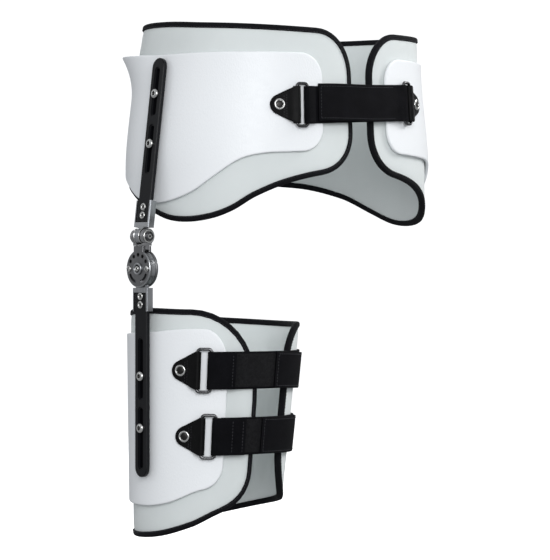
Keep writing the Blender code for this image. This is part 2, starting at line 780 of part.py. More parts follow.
def make_upper_upright(root):
    frame = Matrix.Translation((UPRIGHT_X, 0, ABDUCTION_Z)) @ Matrix.Rotation(UPRIGHT_TILT, 4, "Y")
    holder = empty("upper_upright", frame.to_translation(), frame.to_euler(), root)
    stretch = 1 / math.cos(UPRIGHT_TILT)

    def local(z):
        """Height along the bar for a world height."""
        return (z - ABDUCTION_Z) * stretch

    slots = ((local(165), local(216)), (local(103), local(154)))
    rivets = (local(57), local(66))
    make_bar("upper_bar", holder, frame, local(44.4) + 5.3, local(227), slots, True, False, rivets)
    knuckle = across_bm(KNUCKLE_R, -KNUCKLE_HALF, KNUCKLE_HALF)
    web = box_bm((-3.4, 3.4), (-KNUCKLE_HALF, KNUCKLE_HALF), (2.0, local(44.4) + 1.0))
    extra = [solid("web", "steel", web, matrix=frame), solid("knuckle", "steel", knuckle, matrix=frame)]
    bracket = make_bracket("upper_bracket", holder, frame, local(44.4), local(73), rivets, extra)
    bore = solid("cutter", "steel", across_bm(3.3, -20, 20, 12), matrix=frame)
    combine(bracket, [bore])
    for index, z in enumerate(rivets):
        bracket_rivet("upper_bracket_rivet_%d" % (index + 1), holder, frame, z)
    return frame, local, holder


NUT_DROP = 1.0               # the nut's flange below the shell, clear of the shell's curve


def slot_fastener(label, parent, frame, z_local, shell, liner, form_point):
    """A screw through a bar's slot into a sleeve nut behind the shell."""
    out = frame.to_3x3() @ Vector((-1, 0, 0))
    face = frame @ Vector((-BAR_T / 2, 0, z_local))
    back = frame @ Vector((BAR_T / 2, 0, z_local))
    reach = (back - form_point).dot(out) - GAP
    nut_at = back - out * (reach + GAP)
    tools = [drill(nut_at, out, 4.9, -3, 40)]
    combine(shell, tools)
    pocket = NUT_DROP + 1.5 + 0.6
    combine(liner, [drill(nut_at, out, 9.6, -pocket, 20)])
    inside = aim(nut_at - out * NUT_DROP, out)
    barrel = sleeve_bm(nut_profile(reach + NUT_DROP))
    solid(label[1], "steel", barrel, parent, matrix=inside)
    head = GAP
    profile = pan_screw_profile(head, -BAR_T - 5.5)
    solid(label[0], "nickel", turned_bm(profile, 16), parent, matrix=aim(face, out))


# ---------------------------------------------------------------- the hinge
def plate_bm(x_low, x_high):
    """A round plate with a shoulder that reaches up to the yoke."""
    shoulder = 8.0
    start = math.degrees(math.acos(shoulder / HINGE_R))
    rim = arc(0, 0, HINGE_R, 180 - start, 360 + start, 32)
    return prism_bm([(shoulder, 24.4), (-shoulder, 24.4)] + rim, x_low, x_high)


def arc_slot_bm(radius, half, start, end, x_low, x_high):
    """A curved slot round the hinge axis."""
    outer = arc(0, 0, radius + half, start, end, 5)
    inner = arc(0, 0, radius - half, end, start, 5)
    return prism_bm(outer + inner, x_low, x_high)


def make_hinge(parent):
    at = Matrix.Translation((UPRIGHT_X, 0, 0))
    half = ROTOR_T / 2 + GAP
    hub_hole = 3.4
    rows = {"outer": (-half - PLATE_T, -half), "inner": (half, half + PLATE_T)}
    for side, (low, high) in rows.items():
        body = plate_bm(low, high)
        rims = [edge for edge in body.edges if abs(edge.verts[0].co.x - edge.verts[1].co.x) < 0.01]
        bmesh.ops.bevel(body, geom=rims, offset=0.5, segments=1, affect="EDGES")
        plate = solid("hinge_%s_plate" % side, "gunmetal", body, parent, matrix=at)
        tools = [prism_bm(arc(0, 0, hub_hole, 0, 330, 11), low - 1, high + 1)]
        if side == "outer":
            for k in range(5):
                turn = math.radians(32 + 29 * k)
                spot = (15.0 * math.cos(turn), 15.0 * math.sin(turn))
                tools.append(prism_bm(arc(*spot, 1.7, 0, 324, 9), low - 1, high + 1))
            for turn in (0, 180):
                spot = (15.0 * math.cos(math.radians(turn)), 0)
                tools.append(prism_bm(arc(*spot, 2.2, 0, 315, 7), low - 1, high + 1))
            tools.append(arc_slot_bm(14.6, 1.6, 202, 256, low - 1, high + 1))
            tools.append(arc_slot_bm(14.6, 1.6, 284, 338, low - 1, high + 1))
        combine(plate, [solid("cutter", "steel", tool, matrix=at) for tool in tools])
    hub = [(0, half + PLATE_T + 2.0), (4.4, half + PLATE_T + 2.0), (5.2, half + PLATE_T + 1.4),
           (5.2, half + PLATE_T + GAP), (3.1, half + PLATE_T + GAP), (3.1, -half - PLATE_T - GAP),
           (6.6, -half - PLATE_T - GAP), (6.6, -half - PLATE_T - 1.6), (5.6, -half - PLATE_T - 2.6),
           (3.0, -half - PLATE_T - 2.6), (3.0, -half - PLATE_T - 1.2), (0, -half - PLATE_T - 1.2)]
    along_x = Matrix.Translation((UPRIGHT_X, 0, 0)) @ Matrix.Rotation(math.pi / 2, 4, "Y")
    solid("hinge_hub_bolt", "steel", turned_bm(hub, 20), parent, matrix=along_x)
    for name, y in (("flexion_stop_screw", -15.0), ("extension_stop_screw", 15.0)):
        base = half + PLATE_T + GAP
        profile = [(0, half + 0.2), (1.9, half + 0.2), (1.9, base), (3.3, base), (3.3, base + 0.9),
                   (2.7, base + 1.5), (1.3, base + 1.5), (1.3, base + 0.6), (0, base + 0.6)]
        spot = aim((UPRIGHT_X, y, 0), (-1, 0, 0))
        solid(name, "nickel", turned_bm(profile, 12), parent, matrix=spot)


def make_yoke(parent):
    at = Matrix.Translation((UPRIGHT_X, 0, ABDUCTION_Z))
    neck_low = HINGE_R + 0.6 - ABDUCTION_Z
    neck = box_bm((-ROTOR_T / 2, ROTOR_T / 2), (-8.0, 8.0), (neck_low, -8.0))
    yoke = solid("abduction_yoke", "steel", neck, parent, matrix=at)
    shoulder = box_bm((-4.6, 4.6), (-YOKE_HALF, YOKE_HALF), (-10.0, -1.0))
    barrel = across_bm(KNUCKLE_R, -YOKE_HALF, YOKE_HALF)
    combine(yoke, [solid("tool", "steel", shoulder, matrix=at),
                   solid("tool", "steel", barrel, matrix=at)], "UNION")
    room = KNUCKLE_HALF + 0.4
    gap = box_bm((-12, 12), (-room, room), (-KNUCKLE_R - 0.4, 12))
    bore = across_bm(3.3, -20, 20, 12)
    combine(yoke, [solid("cutter", "steel", gap, matrix=at), solid("cutter", "steel", bore, matrix=at)])
    front = aim((UPRIGHT_X, 0, ABDUCTION_Z), (0, -1, 0))
    base = YOKE_HALF + GAP
    bolt = [(0, -base - 1.5), (3.0, -base - 1.5), (3.0, base), (7.4, base), (7.4, base + 1.0),
            (5.2, base + 1.0), (5.2, base + 2.6), (4.5, base + 3.2), (2.4, base + 3.2),
            (2.4, base + 1.4), (0, base + 1.4)]
    solid("abduction_bolt", "nickel", turned_bm(bolt, 20), parent, matrix=front)
    nut = [(3.3, -base - 3.6), (5.8, -base - 3.6), (6.4, -base - 3.0), (6.4, -base), (3.3, -base)]
    solid("abduction_nut", "nickel", sleeve_bm(nut, 20), parent, matrix=front)


def make_lower_upright(parent):
    frame = Matrix.Translation((UPRIGHT_X, 0, 0))
    rotor = prism_bm(arc(0, 0, HINGE_R - 0.7, 0, 352.5, 47), -ROTOR_T / 2, ROTOR_T / 2)
    disc = solid("hinge_rotor", "steel", rotor, parent, matrix=frame)
    tongue = box_bm((-ROTOR_T / 2, ROTOR_T / 2), (-8.0, 8.0), (-24.9, -12.0))
    combine(disc, [solid("tool", "steel", tongue, matrix=frame)], "UNION")
    bore = prism_bm(arc(0, 0, 3.5, 0, 337.5, 15), -8, 8)
    combine(disc, [solid("cutter", "steel", bore, matrix=frame)])
    rivets = (-29.5, -38.5)
    bracket = make_bracket("lower_bracket", parent, frame, -20.4, -45.5, rivets, None)
    seat = box_bm((-ROTOR_T / 2 - GAP, ROTOR_T / 2 + GAP), (-8.3, 8.3), (-25.3, -12.0))
    combine(bracket, [solid("cutter", "steel", seat, matrix=frame)])
    slots = ((-139.0, -75.0), (-213.6, -148.8))
    make_bar("lower_bar", parent, frame, -223.0, -25.8, slots, False, True, rivets)
    for index, z in enumerate(rivets):
        bracket_rivet("lower_bracket_rivet_%d" % (index + 1), parent, frame, z)
    return frame


# ---------------------------------------------------------------- the thigh cuff
def make_cuff(parent, frame):
    shell = solid("thigh_shell", "shell", panel_bm(THIGH_SHELL, 0, SHELL_T, rows=1), parent)
    back = -LAYER_GAP - LINER_T
    liner = solid("thigh_liner", "liner",
                  panel_bm(THIGH_LINER, back, -LAYER_GAP, inset=BINDING_W + 0.5, rows=1), parent)
    binding = band_bm(THIGH_LINER, BINDING_W, back - BINDING_PROUD, -LAYER_GAP + BINDING_PROUD, 1)
    solid("thigh_binding", "webbing", binding, parent)
    for name, z in (("upper", -115.0), ("lower", -170.6)):
        names = ["thigh_slot_screw_" + name, "thigh_slot_nut_" + name]
        slot_fastener(names, parent, frame, z, shell, liner, thigh_point(90, z, 0))
    form = thigh_point
    for index, name in enumerate(("upper", "lower")):
        z = THIGH_STRAP_Z[index]
        closure = Closure(form, THIGH_RING_ANGLE[index], z, 1, THIGH_RING_W)
        names = ["thigh_" + kind + "_" + name for kind in ("tab", "rivet", "ring")]
        closure.make(names, parent, shell)
        bar = closure.strap_bar
        per_mm = degrees_per_mm(form, bar, z)
        low = SHELL_T + LOW_LAYER
        on_liner = LOW_LAYER - LAYER_GAP + BINDING_PROUD + 0.2
        begin = bar - 5.0 * per_mm
        path = [(begin, low), (31, low), (25, low - 0.6), (18, on_liner + 0.6)]
        path += [(10 - 9 * k, on_liner) for k in range(16)]
        path += [(-137, on_liner + 1.0), (-145, low - 0.8), (-151, low), (-158, low), (-166, low)]
        base = ribbon_bm(form, path, z, [STRAP_W / 2] * len(path))
        solid("thigh_strap_base_" + name, "webbing", base, parent)
        near = bar - 16.0 * per_mm
        end = THIGH_TAIL_END[index]
        rest = [(near + (end - near) * k / 5, SHELL_T + TOP_LAYER) for k in range(6)]
        path = strap_fold(form, bar, z, -1) + rest
        strap_tail("thigh_strap_tail_" + name, form, path, z, bar, parent)


def main():
    clear_scene()
    root = empty("pelvic_girdle", (0, 0, 0))
    shells = make_girdle(root)
    frame, local, upright = make_upper_upright(root)
    for name, z in (("upper", 188.0), ("lower", 134.0)):
        names = ["pelvic_slot_screw_" + name, "pelvic_slot_nut_" + name]
        inside = pelvic_point(90, z, 0)
        slot_fastener(names, root, frame, local(z), shells["right"], shells["liner_right"], inside)
    hinge = empty("hinge_block", (UPRIGHT_X, 0, ABDUCTION_Z), parent=upright)
    make_yoke(hinge)
    make_hinge(hinge)
    lower = empty("lower_upright", (UPRIGHT_X, 0, 0), parent=hinge)
    bar_frame = make_lower_upright(lower)
    cuff = empty("thigh_cuff", (UPRIGHT_X, 0, 0), parent=lower)
    make_cuff(cuff, bar_frame)


main()
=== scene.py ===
"""Looks of a hip orthosis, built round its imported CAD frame.

The forms, outlines and strap routes repeat the CAD's numbers, in millimetres, and turn
into metres as each mesh is made.  An angle runs from the wearer's front to the right hip.
"""
from math import copysign, cos, pi, radians, sin, sqrt, tanh

import bmesh
import bpy
from mathutils import Matrix, Vector


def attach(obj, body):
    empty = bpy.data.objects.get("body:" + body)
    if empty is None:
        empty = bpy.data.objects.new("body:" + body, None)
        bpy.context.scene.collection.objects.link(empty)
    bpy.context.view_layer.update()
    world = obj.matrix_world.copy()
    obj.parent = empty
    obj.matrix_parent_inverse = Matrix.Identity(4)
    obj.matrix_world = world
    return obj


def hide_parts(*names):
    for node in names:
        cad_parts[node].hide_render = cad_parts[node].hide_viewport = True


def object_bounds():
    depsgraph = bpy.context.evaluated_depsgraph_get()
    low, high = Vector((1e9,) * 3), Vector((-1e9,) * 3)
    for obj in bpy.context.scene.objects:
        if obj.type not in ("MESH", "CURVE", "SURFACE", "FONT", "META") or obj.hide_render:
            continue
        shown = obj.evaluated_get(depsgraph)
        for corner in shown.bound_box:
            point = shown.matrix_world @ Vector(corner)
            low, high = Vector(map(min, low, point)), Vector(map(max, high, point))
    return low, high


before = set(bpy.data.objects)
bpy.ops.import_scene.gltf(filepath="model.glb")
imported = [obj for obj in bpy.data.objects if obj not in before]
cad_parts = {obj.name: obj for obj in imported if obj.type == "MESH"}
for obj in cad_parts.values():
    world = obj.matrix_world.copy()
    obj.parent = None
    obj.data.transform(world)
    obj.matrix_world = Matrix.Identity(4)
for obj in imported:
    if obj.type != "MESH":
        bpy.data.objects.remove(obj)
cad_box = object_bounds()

MM = 0.001

# ---------------------------------------------------------------- sizes shared with the CAD
GAP = 0.3
LAYER_GAP = 1.1
SHELL_T = 3.5
LINER_T = 9.0
BINDING_W = 6.0
BINDING_PROUD = 0.8
WAIST_HALF_WIDTH, WAIST_HALF_DEPTH, WAIST_Z = 161.5, 135.0, 230.0
HIP_HALF_WIDTH, HIP_HALF_DEPTH, HIP_Z = 173.0, 139.0, 110.0
FORM_POWER = 2.4
BACK_FLAT = 7.0
FLARE = 11.0
LEAN = 8.0
THIGH_SIDE_X = -188.5
THIGH_TOP_R, THIGH_TOP_Z = 97.0, -55.0
THIGH_LOW_R, THIGH_LOW_Z = 86.0, -250.0
UPRIGHT_X = -194.5
UPRIGHT_TILT = radians(7.5)
ABDUCTION_Z = 34.7
BAR_T = 5.0
STRAP_W = 40.0
STRAP_T = 2.0
WIRE_R = 1.7
RING_H = 45.4
PELVIC_RINGS = {"front": ((33.0, 174.0), (27.0, 182.0)), "back": ((149.0, 174.0), (149.0, 174.0))}
PELVIC_TAIL_END = {"front": 26.0, "back": 155.0}
TAIL_LIFT = 2.6
BAR_REST = 0.4
RING_LIFT = BAR_REST + STRAP_T + GAP + WIRE_R
LOOP_R = WIRE_R + GAP + STRAP_T / 2
LOW_LAYER = BAR_REST + STRAP_T / 2
TOP_LAYER = LOW_LAYER + STRAP_T + 0.5
LINER_BACK = -LAYER_GAP - LINER_T
ON_LINER = LOW_LAYER - LAYER_GAP + BINDING_PROUD + 0.2
ON_SHELL = SHELL_T + LOW_LAYER
TAIL_TOP = SHELL_T + TOP_LAYER + STRAP_T / 2
STITCH_REACH = STRAP_W / 2 - 3.0
THIGH_RING_W = 14.5
THIGH_STRAPS = {
    # height, the ring's angle, the tail's end, and the overlap's start, end and lean in mm
    "upper": (-108.0, 46.4, 26.5, (-4.0, -74.0, -4.0)),
    "lower": (-178.0, 42.1, 17.5, (4.0, -70.0, -2.0)),
}

PELVIC_LINER_LOW = ((5, 104), (22, 100), (38, 90), (50, 76), (58, 62), (66, 53.5), (76, 50),
                    (86, 53), (98, 66), (112, 84), (130, 96), (175, 100))
PELVIC_LINER_HIGH = ((5, 257), (38, 259), (70, 263), (90, 267), (108, 268), (138, 267), (175, 258))
PELVIC_SHELL_LOW = ((14, 127), (38, 124), (48, 122), (56, 115.5), (65, 98), (74, 81), (88, 71),
                    (100, 76), (112, 94), (126, 108), (162, 118))
PELVIC_SHELL_HIGH = ((14, 230), (90, 231), (120, 234), (162, 230))
THIGH_LINER_LOW = ((4, -256), (29, -260), (52, -275), (84, -287), (130, -290), (200, -282),
                   (270, -262), (339, -246))
THIGH_LINER_HIGH = ((4, -44), (62, -43), (100, -42), (180, -50), (270, -57), (339, -57))
THIGH_SHELL_LOW = ((31, -231), (48, -236), (70, -249), (95, -254), (150, -250), (205, -238))
THIGH_SHELL_HIGH = ((31, -64), (60, -64), (90, -68), (205, -74))


def steps(start, end, count):
    return [start + (end - start) * k / count for k in range(count + 1)]


# ---------------------------------------------------------------- forms of the body
def smoothstep(value):
    value = min(max(value, 0.0), 1.0)
    return value * value * (3 - 2 * value)


def curve(points):
    """A smooth curve through (angle, height) points."""
    def value(angle):
        if angle <= points[0][0]:
            return points[0][1]
        if angle >= points[-1][0]:
            return points[-1][1]
        k = max(i for i in range(len(points) - 1) if points[i][0] <= angle)
        before, start = points[max(k - 1, 0)], points[k]
        end, after = points[k + 1], points[min(k + 2, len(points) - 1)]
        span = end[0] - start[0]
        t = (angle - start[0]) / span
        slope_in = (end[1] - before[1]) / (end[0] - before[0]) * span
        slope_out = (after[1] - start[1]) / (after[0] - start[0]) * span
        return ((2 * t ** 3 - 3 * t ** 2 + 1) * start[1] + (t ** 3 - 2 * t ** 2 + t) * slope_in
                + (3 * t ** 2 - 2 * t ** 3) * end[1] + (t ** 3 - t ** 2) * slope_out)
    return value


def pelvic_point(angle, z, offset):
    wide = smoothstep((WAIST_Z - z) / (WAIST_Z - HIP_Z))
    half_width = WAIST_HALF_WIDTH + (HIP_HALF_WIDTH - WAIST_HALF_WIDTH) * wide
    half_depth = WAIST_HALF_DEPTH + (HIP_HALF_DEPTH - WAIST_HALF_DEPTH) * wide
    turn = radians(angle)
    if cos(turn) < 0:
        half_depth -= BACK_FLAT
    side = abs(sin(turn) / half_width) ** FORM_POWER
    front = abs(cos(turn) / half_depth) ** FORM_POWER
    radius = (side + front) ** (-1 / FORM_POWER)
    x, y = -radius * sin(turn), -radius * cos(turn)
    steep = FORM_POWER - 1
    normal = Vector((copysign(abs(x / half_width) ** steep / half_width, x),
                     copysign(abs(y / half_depth) ** steep / half_depth, y))).normalized()
    return Vector((x + normal.x * offset, y + normal.y * offset, z))


def thigh_point(angle, z, offset):
    taper = (THIGH_TOP_R - THIGH_LOW_R) / (THIGH_TOP_Z - THIGH_LOW_Z)
    outer = THIGH_LOW_R + (z - THIGH_LOW_Z) * taper
    radius = outer - SHELL_T + offset
    turn = radians(angle)
    return Vector((THIGH_SIDE_X + outer - radius * sin(turn), -radius * cos(turn), z))


def outward(form, angle, z):
    around = form(angle + 0.5, z, 0) - form(angle - 0.5, z, 0)
    upward = form(angle, z + 1, 0) - form(angle, z - 1, 0)
    normal = around.cross(upward).normalized()
    away = form(angle, z, 10) - form(angle, z, 0)
    return normal if normal.dot(away) > 0 else -normal


def degrees_per_mm(form, angle, z):
    return 1.0 / (form(angle + 0.5, z, SHELL_T) - form(angle - 0.5, z, SHELL_T)).length


def shell_flare(angle, z):
    """The lip turned away from the body at the top of the shell, behind the upright."""
    reach = smoothstep((angle - 94) / 24) * (1 - smoothstep((angle - 135) / 22))
    rise = max(0.0, z - 186) / (WAIST_Z - 186)
    return FLARE * reach * rise * rise


def liner_lean(angle, z):
    """The pelvic liner's top leans in behind the hip."""
    return -LEAN * smoothstep((angle - 98) / 30) * smoothstep((z - 222) / 46)


def flat(angle, z):
    return 0.0


# ---------------------------------------------------------------- mesh builders
class Builder:
    """Collects quads with a weave map in millimetres and turns them into a mesh."""

    def __init__(self, flip=1):
        self.bm = bmesh.new()
        self.uv = self.bm.loops.layers.uv.new("weave")
        self.flip = flip

    def vert(self, point):
        return self.bm.verts.new((point.x * self.flip * MM, point.y * MM, point.z * MM))

    def face(self, verts, places):
        made = self.bm.faces.new(verts)
        for loop, place in zip(made.loops, places):
            loop[self.uv].uv = place

    def grid(self, rows, us, vs, close_u=False, close_v=False, caps=False):
        """Faces over rows[i][j] of verts; us and vs carry one more value where closed."""
        for i in range(len(rows) - (0 if close_u else 1)):
            one, two = rows[i], rows[(i + 1) % len(rows)]
            for j in range(len(one) - (0 if close_v else 1)):
                after = (j + 1) % len(one)
                self.face((one[j], two[j], two[after], one[after]),
                          ((us[i], vs[j]), (us[i + 1], vs[j]), (us[i + 1], vs[j + 1]), (us[i], vs[j + 1])))
        if caps:
            for row, u in ((rows[0], us[0]), (rows[-1], us[-1])):
                self.face(row, [(u, v) for v in vs[:len(row)]])

    def mesh(self, name, sharp=40):
        bmesh.ops.recalc_face_normals(self.bm, faces=self.bm.faces)
        made = bpy.data.meshes.new(name)
        self.bm.to_mesh(made)
        self.bm.free()
        made.shade_smooth()
        made.set_sharp_from_angle(angle=radians(sharp))
        return made


def lengths(points, closed=False):
    """Distance along a line of points, starting at 0."""
    found = [0.0]
    for one, two in zip(points, points[1:] + (points[:1] if closed else [])):
        found.append(found[-1] + (two - one).length)
    return found


class Panel:
    """A panel on a form: two ends, a lower and an upper curve, and four round corners."""

    TURN = 11

    def __init__(self, form, start, end, low, high, corners, columns, rows, flip=1, lift=flat):
        self.form, self.flip, self.lift, self.rows = form, flip, lift, rows
        low, high = curve(low), curve(high)
        lead = max(corners[0][0], corners[1][0])
        tail = max(corners[2][0], corners[3][0])
        eased = [1 - cos(pi / 2 * k / self.TURN) for k in range(self.TURN)]
        span = (end - tail) - (start + lead)
        angles = ([start + lead * s for s in eased]
                  + [start + lead + span * k / columns for k in range(columns + 1)]
                  + [end - tail * s for s in eased][::-1])
        self.count = len(angles)
        lower, upper = [], []
        for angle in angles:
            heights = [low(angle), high(angle)]
            for index, inside in enumerate((angle - start, angle - start, end - angle, end - angle)):
                width, height = corners[index]
                near = max(0.0, 1 - inside / width)
                drop = height * (1 - sqrt(max(0.0, 1 - near * near)))
                heights[index % 2] += drop if index % 2 == 0 else -drop
            lower.append((angle, heights[0]))
            upper.append((angle, heights[1]))
        ladder = [k / rows for k in range(1, rows)]
        right = [(angles[-1], lower[-1][1] + (upper[-1][1] - lower[-1][1]) * t) for t in ladder]
        left = [(angles[0], lower[0][1] + (upper[0][1] - lower[0][1]) * t) for t in ladder]
        self.rim = lower + right + upper[::-1] + left[::-1]
        self.inward = self.edge_normals()

    def edge_normals(self):
        """For each rim point, the step inwards for one millimetre, in (degrees, mm)."""
        found = []
        for k, (angle, z) in enumerate(self.rim):
            before, after = self.rim[k - 1], self.rim[(k + 1) % len(self.rim)]
            per_mm = degrees_per_mm(self.form, angle, z)
            along = Vector(((after[0] - before[0]) / per_mm, after[1] - before[1])).normalized()
            found.append((-along.y * per_mm, along.x))
        return found

    def loop(self, inset):
        return [(a + n[0] * inset, z + n[1] * inset) for (a, z), n in zip(self.rim, self.inward)]

    def at(self, angle, z, offset):
        return self.form(angle, z, offset + self.lift(angle, z))

    def columns(self, ring, inner):
        """A ring's places as columns; inner(i, low, high) gives the middle of column i."""
        n, side = self.count, self.rows - 1
        lower, right = ring[:n], ring[n:n + side]
        upper, left = ring[n + side:2 * n + side][::-1], ring[2 * n + side:][::-1]
        return [[low] + (left if i == 0 else right if i == n - 1 else inner(i, low, high)) + [high]
                for i, (low, high) in enumerate(zip(lower, upper))]

    def ladder(self, i, low, high):
        """The places between the lower and the upper place of a column."""
        return [tuple(a + (b - a) * k / self.rows for a, b in zip(low, high))
                for k in range(1, self.rows)]

    def skin(self, name, rim):
        """A closed panel; `rim` has (inset, offset) steps from the back round to the front."""
        build = Builder(self.flip)
        self.spots = []

        def vert(angle, z, offset):
            self.spots.append((angle, z, offset))
            return build.vert(self.at(angle, z, offset))

        per_mm = degrees_per_mm(self.form, 45, (self.rim[0][1] + self.rim[self.count][1]) / 2)
        loops = [self.loop(inset) for inset, offset in rim]
        rings = [[vert(a, z, offset) for a, z in loop] for loop, (inset, offset) in zip(loops, rim)]
        for one, two, at_one, at_two in zip(rings, rings[1:], loops, loops[1:]):
            for k in range(len(one)):
                after = (k + 1) % len(one)
                places = [(a / per_mm, z) for a, z in (at_one[k], at_one[after], at_two[after], at_two[k])]
                build.face((one[k], one[after], two[after], two[k]), places)
        for ring, loop, (inset, offset) in ((rings[0], loops[0], rim[0]), (rings[-1], loops[-1], rim[-1])):
            columns = self.columns(loop, self.ladder)
            verts = self.columns(ring, lambda i, low, high: [vert(a, z, offset)
                                                             for a, z in columns[i][1:-1]])
            for i in range(self.count - 1):
                for j in range(self.rows):
                    spots = ((i, j), (i + 1, j), (i + 1, j + 1), (i, j + 1))
                    build.face([verts[p][q] for p, q in spots],
                               [(columns[p][q][0] / per_mm, columns[p][q][1]) for p, q in spots])
        return build.mesh(name, 60)

    def band(self, name, section):
        """A closed band round the rim; `section` is a closed loop of (inset, offset)."""
        build = Builder(self.flip)
        loops = [self.loop(inset) for inset, offset in section]
        points = [[self.at(*loop[k], offset) for loop, (inset, offset) in zip(loops, section)]
                  for k in range(len(self.rim))]
        rows = [[build.vert(p) for p in row] for row in points]
        around = lengths(points[0], closed=True)
        build.grid(rows, lengths([row[0] for row in points], closed=True), around,
                   close_u=True, close_v=True)
        return build.mesh(name, 70)

    def covers(self, angle, z, margin):
        """Whether a place lies within the rim, or within a margin outside it."""
        loop = self.loop(-margin)
        inside = False
        for (a, low), (b, high) in zip(loop, loop[1:] + loop[:1]):
            if (low > z) != (high > z) and angle < a + (b - a) * (z - low) / (high - low):
                inside = not inside
        return inside

    def line(self, inset, offset):
        """Points along the rim at an inset, with their outward directions."""
        return [(self.at(a, z, offset), outward(self.form, a, z)) for a, z in self.loop(inset)]


def smooth_path(points, times=3):
    """A Catmull-Rom line through points, with `times` steps between each two."""
    found = []
    for k in range(len(points) - 1):
        p = [Vector(points[min(max(i, 0), len(points) - 1)]) for i in (k - 1, k, k + 1, k + 2)]
        for step in range(times):
            t = step / times
            found.append(0.5 * (2 * p[1] + (p[2] - p[0]) * t
                                + (2 * p[0] - 5 * p[1] + 4 * p[2] - p[3]) * t * t
                                + (3 * p[1] - p[0] - 3 * p[2] + p[3]) * t ** 3))
    return found + [Vector(points[-1])]


SELVEDGE = ((1.0, 0.30), (0.985, 0.75), (0.96, 1.0), (0.90, 0.92), (0.6, 1.0), (0.2, 1.0))


def ribbon(name, form, path, z, half=STRAP_W / 2, thickness=STRAP_T, flip=1, halves=None, drop=None):
    """A strip of webbing along (angle, offset) points, with rounded selvedges.

    `halves` gives the half height at each point and `drop` a shift in height.
    """
    build = Builder(flip)
    levels = [(-v, h) for v, h in SELVEDGE] + [(v, h) for v, h in SELVEDGE[::-1]]
    section = [(v, h, 1) for v, h in levels] + [(v, h, -1) for v, h in levels[::-1]]
    halves = halves or [half] * len(path)
    drop = drop or [0.0] * len(path)
    rows = []
    middle = []
    for k, (angle, offset) in enumerate(path):
        low, high = max(k - 1, 0), min(k + 1, len(path) - 1)
        row = []
        for v, h, side in section:
            level = z + v * halves[k] + drop[k]
            before, after = (form(path[i][0], level, path[i][1]) for i in (low, high))
            across = Vector((before.y - after.y, after.x - before.x)).normalized()
            spot = form(angle, level, offset) + across.to_3d() * side * h * thickness / 2
            row.append(build.vert(spot))
        rows.append(row)
        middle.append(form(angle, z, offset))
    reach = [v * half for v, h, side in section] + [-half]
    build.grid(rows, lengths(middle), reach, close_v=True, caps=True)
    return build.mesh(name, 50)


def along_form(form, angle, z, points, sense):
    """Turn (mm along the form, offset above the shell) into (angle, offset)."""
    per_mm = degrees_per_mm(form, angle, z)
    return [(angle + sense * u * per_mm, SHELL_T + w) for u, w in points]


def loop_points(low_first):
    """Half a turn round a ring's wire, in (along, offset) steps."""
    turns = [radians(-90 + 180 * k / 8) for k in range(9)]
    made = [(-LOOP_R * cos(t), RING_LIFT + LOOP_R * sin(t)) for t in turns]
    return made if low_first else made[::-1]


def tube(build, line, radius, sides, closed):
    """A round wire along points with their outward directions."""
    points = [p for p, n in line]
    rows = []
    for k, (point, normal) in enumerate(line):
        before = points[k - 1] if closed or k else point
        after = points[(k + 1) % len(points)] if closed or k + 1 < len(points) else point
        along = (after - before).normalized()
        across = along.cross(normal).normalized()
        level = across.cross(along)
        size = radius if closed else radius * (0.35, 1.0, 1.0, 0.35)[k]
        turns = [2 * pi * s / sides for s in range(sides)]
        rows.append([build.vert(point + (across * cos(t) + level * sin(t)) * size) for t in turns])
    around = [2 * pi * radius * s / sides for s in range(sides + 1)]
    build.grid(rows, lengths(points, closed), around, close_u=closed, close_v=True, caps=not closed)


def stitches(name, lines, flip=1, pitch=3.4, reach=2.3, radius=0.32, sharp=60):
    """Rows of thread: each line is a list of (point, outward direction)."""
    build = Builder(flip)
    for line in lines:
        points = [p for p, n in line]
        run = lengths(points)
        k = 0
        for s in range(int(run[-1] / pitch)):
            ends = []
            for d in (0.0, 0.2, 0.8, 1.0):
                spot = s * pitch + d * reach
                while k + 2 < len(run) and run[k + 1] < spot:
                    k += 1
                t = (spot - run[k]) / max(run[k + 1] - run[k], 1e-6)
                sunk = radius * (-1.1 if d in (0.0, 1.0) else 0.25)
                ends.append((points[k].lerp(points[k + 1], t) + line[k][1] * sunk, line[k][1]))
            tube(build, ends, radius, 6, False)
    return build.mesh(name, sharp)


def turned(build, profile, placement, segments=40):
    """Revolve (radius, height) points about a placement's Z axis; the ends may be on it."""
    rows = []
    for radius, height in profile:
        if radius == 0:
            rows.append([build.vert(placement @ Vector((0, 0, height)))])
            continue
        turns = [2 * pi * k / segments for k in range(segments)]
        rows.append([build.vert(placement @ Vector((radius * cos(t), radius * sin(t), height)))
                     for t in turns])
    run = lengths([Vector(p) for p in profile])
    for i, (one, two) in enumerate(zip(rows, rows[1:])):
        for k in range(segments):
            after = (k + 1) % segments
            spots = [(one, k, i), (two, k, i + 1), (two, after, i + 1), (one, after, i)]
            unique = [spot for n, spot in enumerate(spots)
                      if not (len(spot[0]) == 1 and n in ((3,) if spot[0] is one else (2,)))]
            build.face([row[j if len(row) > 1 else 0] for row, j, level in unique],
                       [(run[level], j) for row, j, level in unique])


def aim(position, direction):
    """Placement with its +Z along `direction`."""
    turn = Vector(direction).to_track_quat("Z", "Y").to_matrix().to_4x4()
    return Matrix.Translation(Vector(position)) @ turn


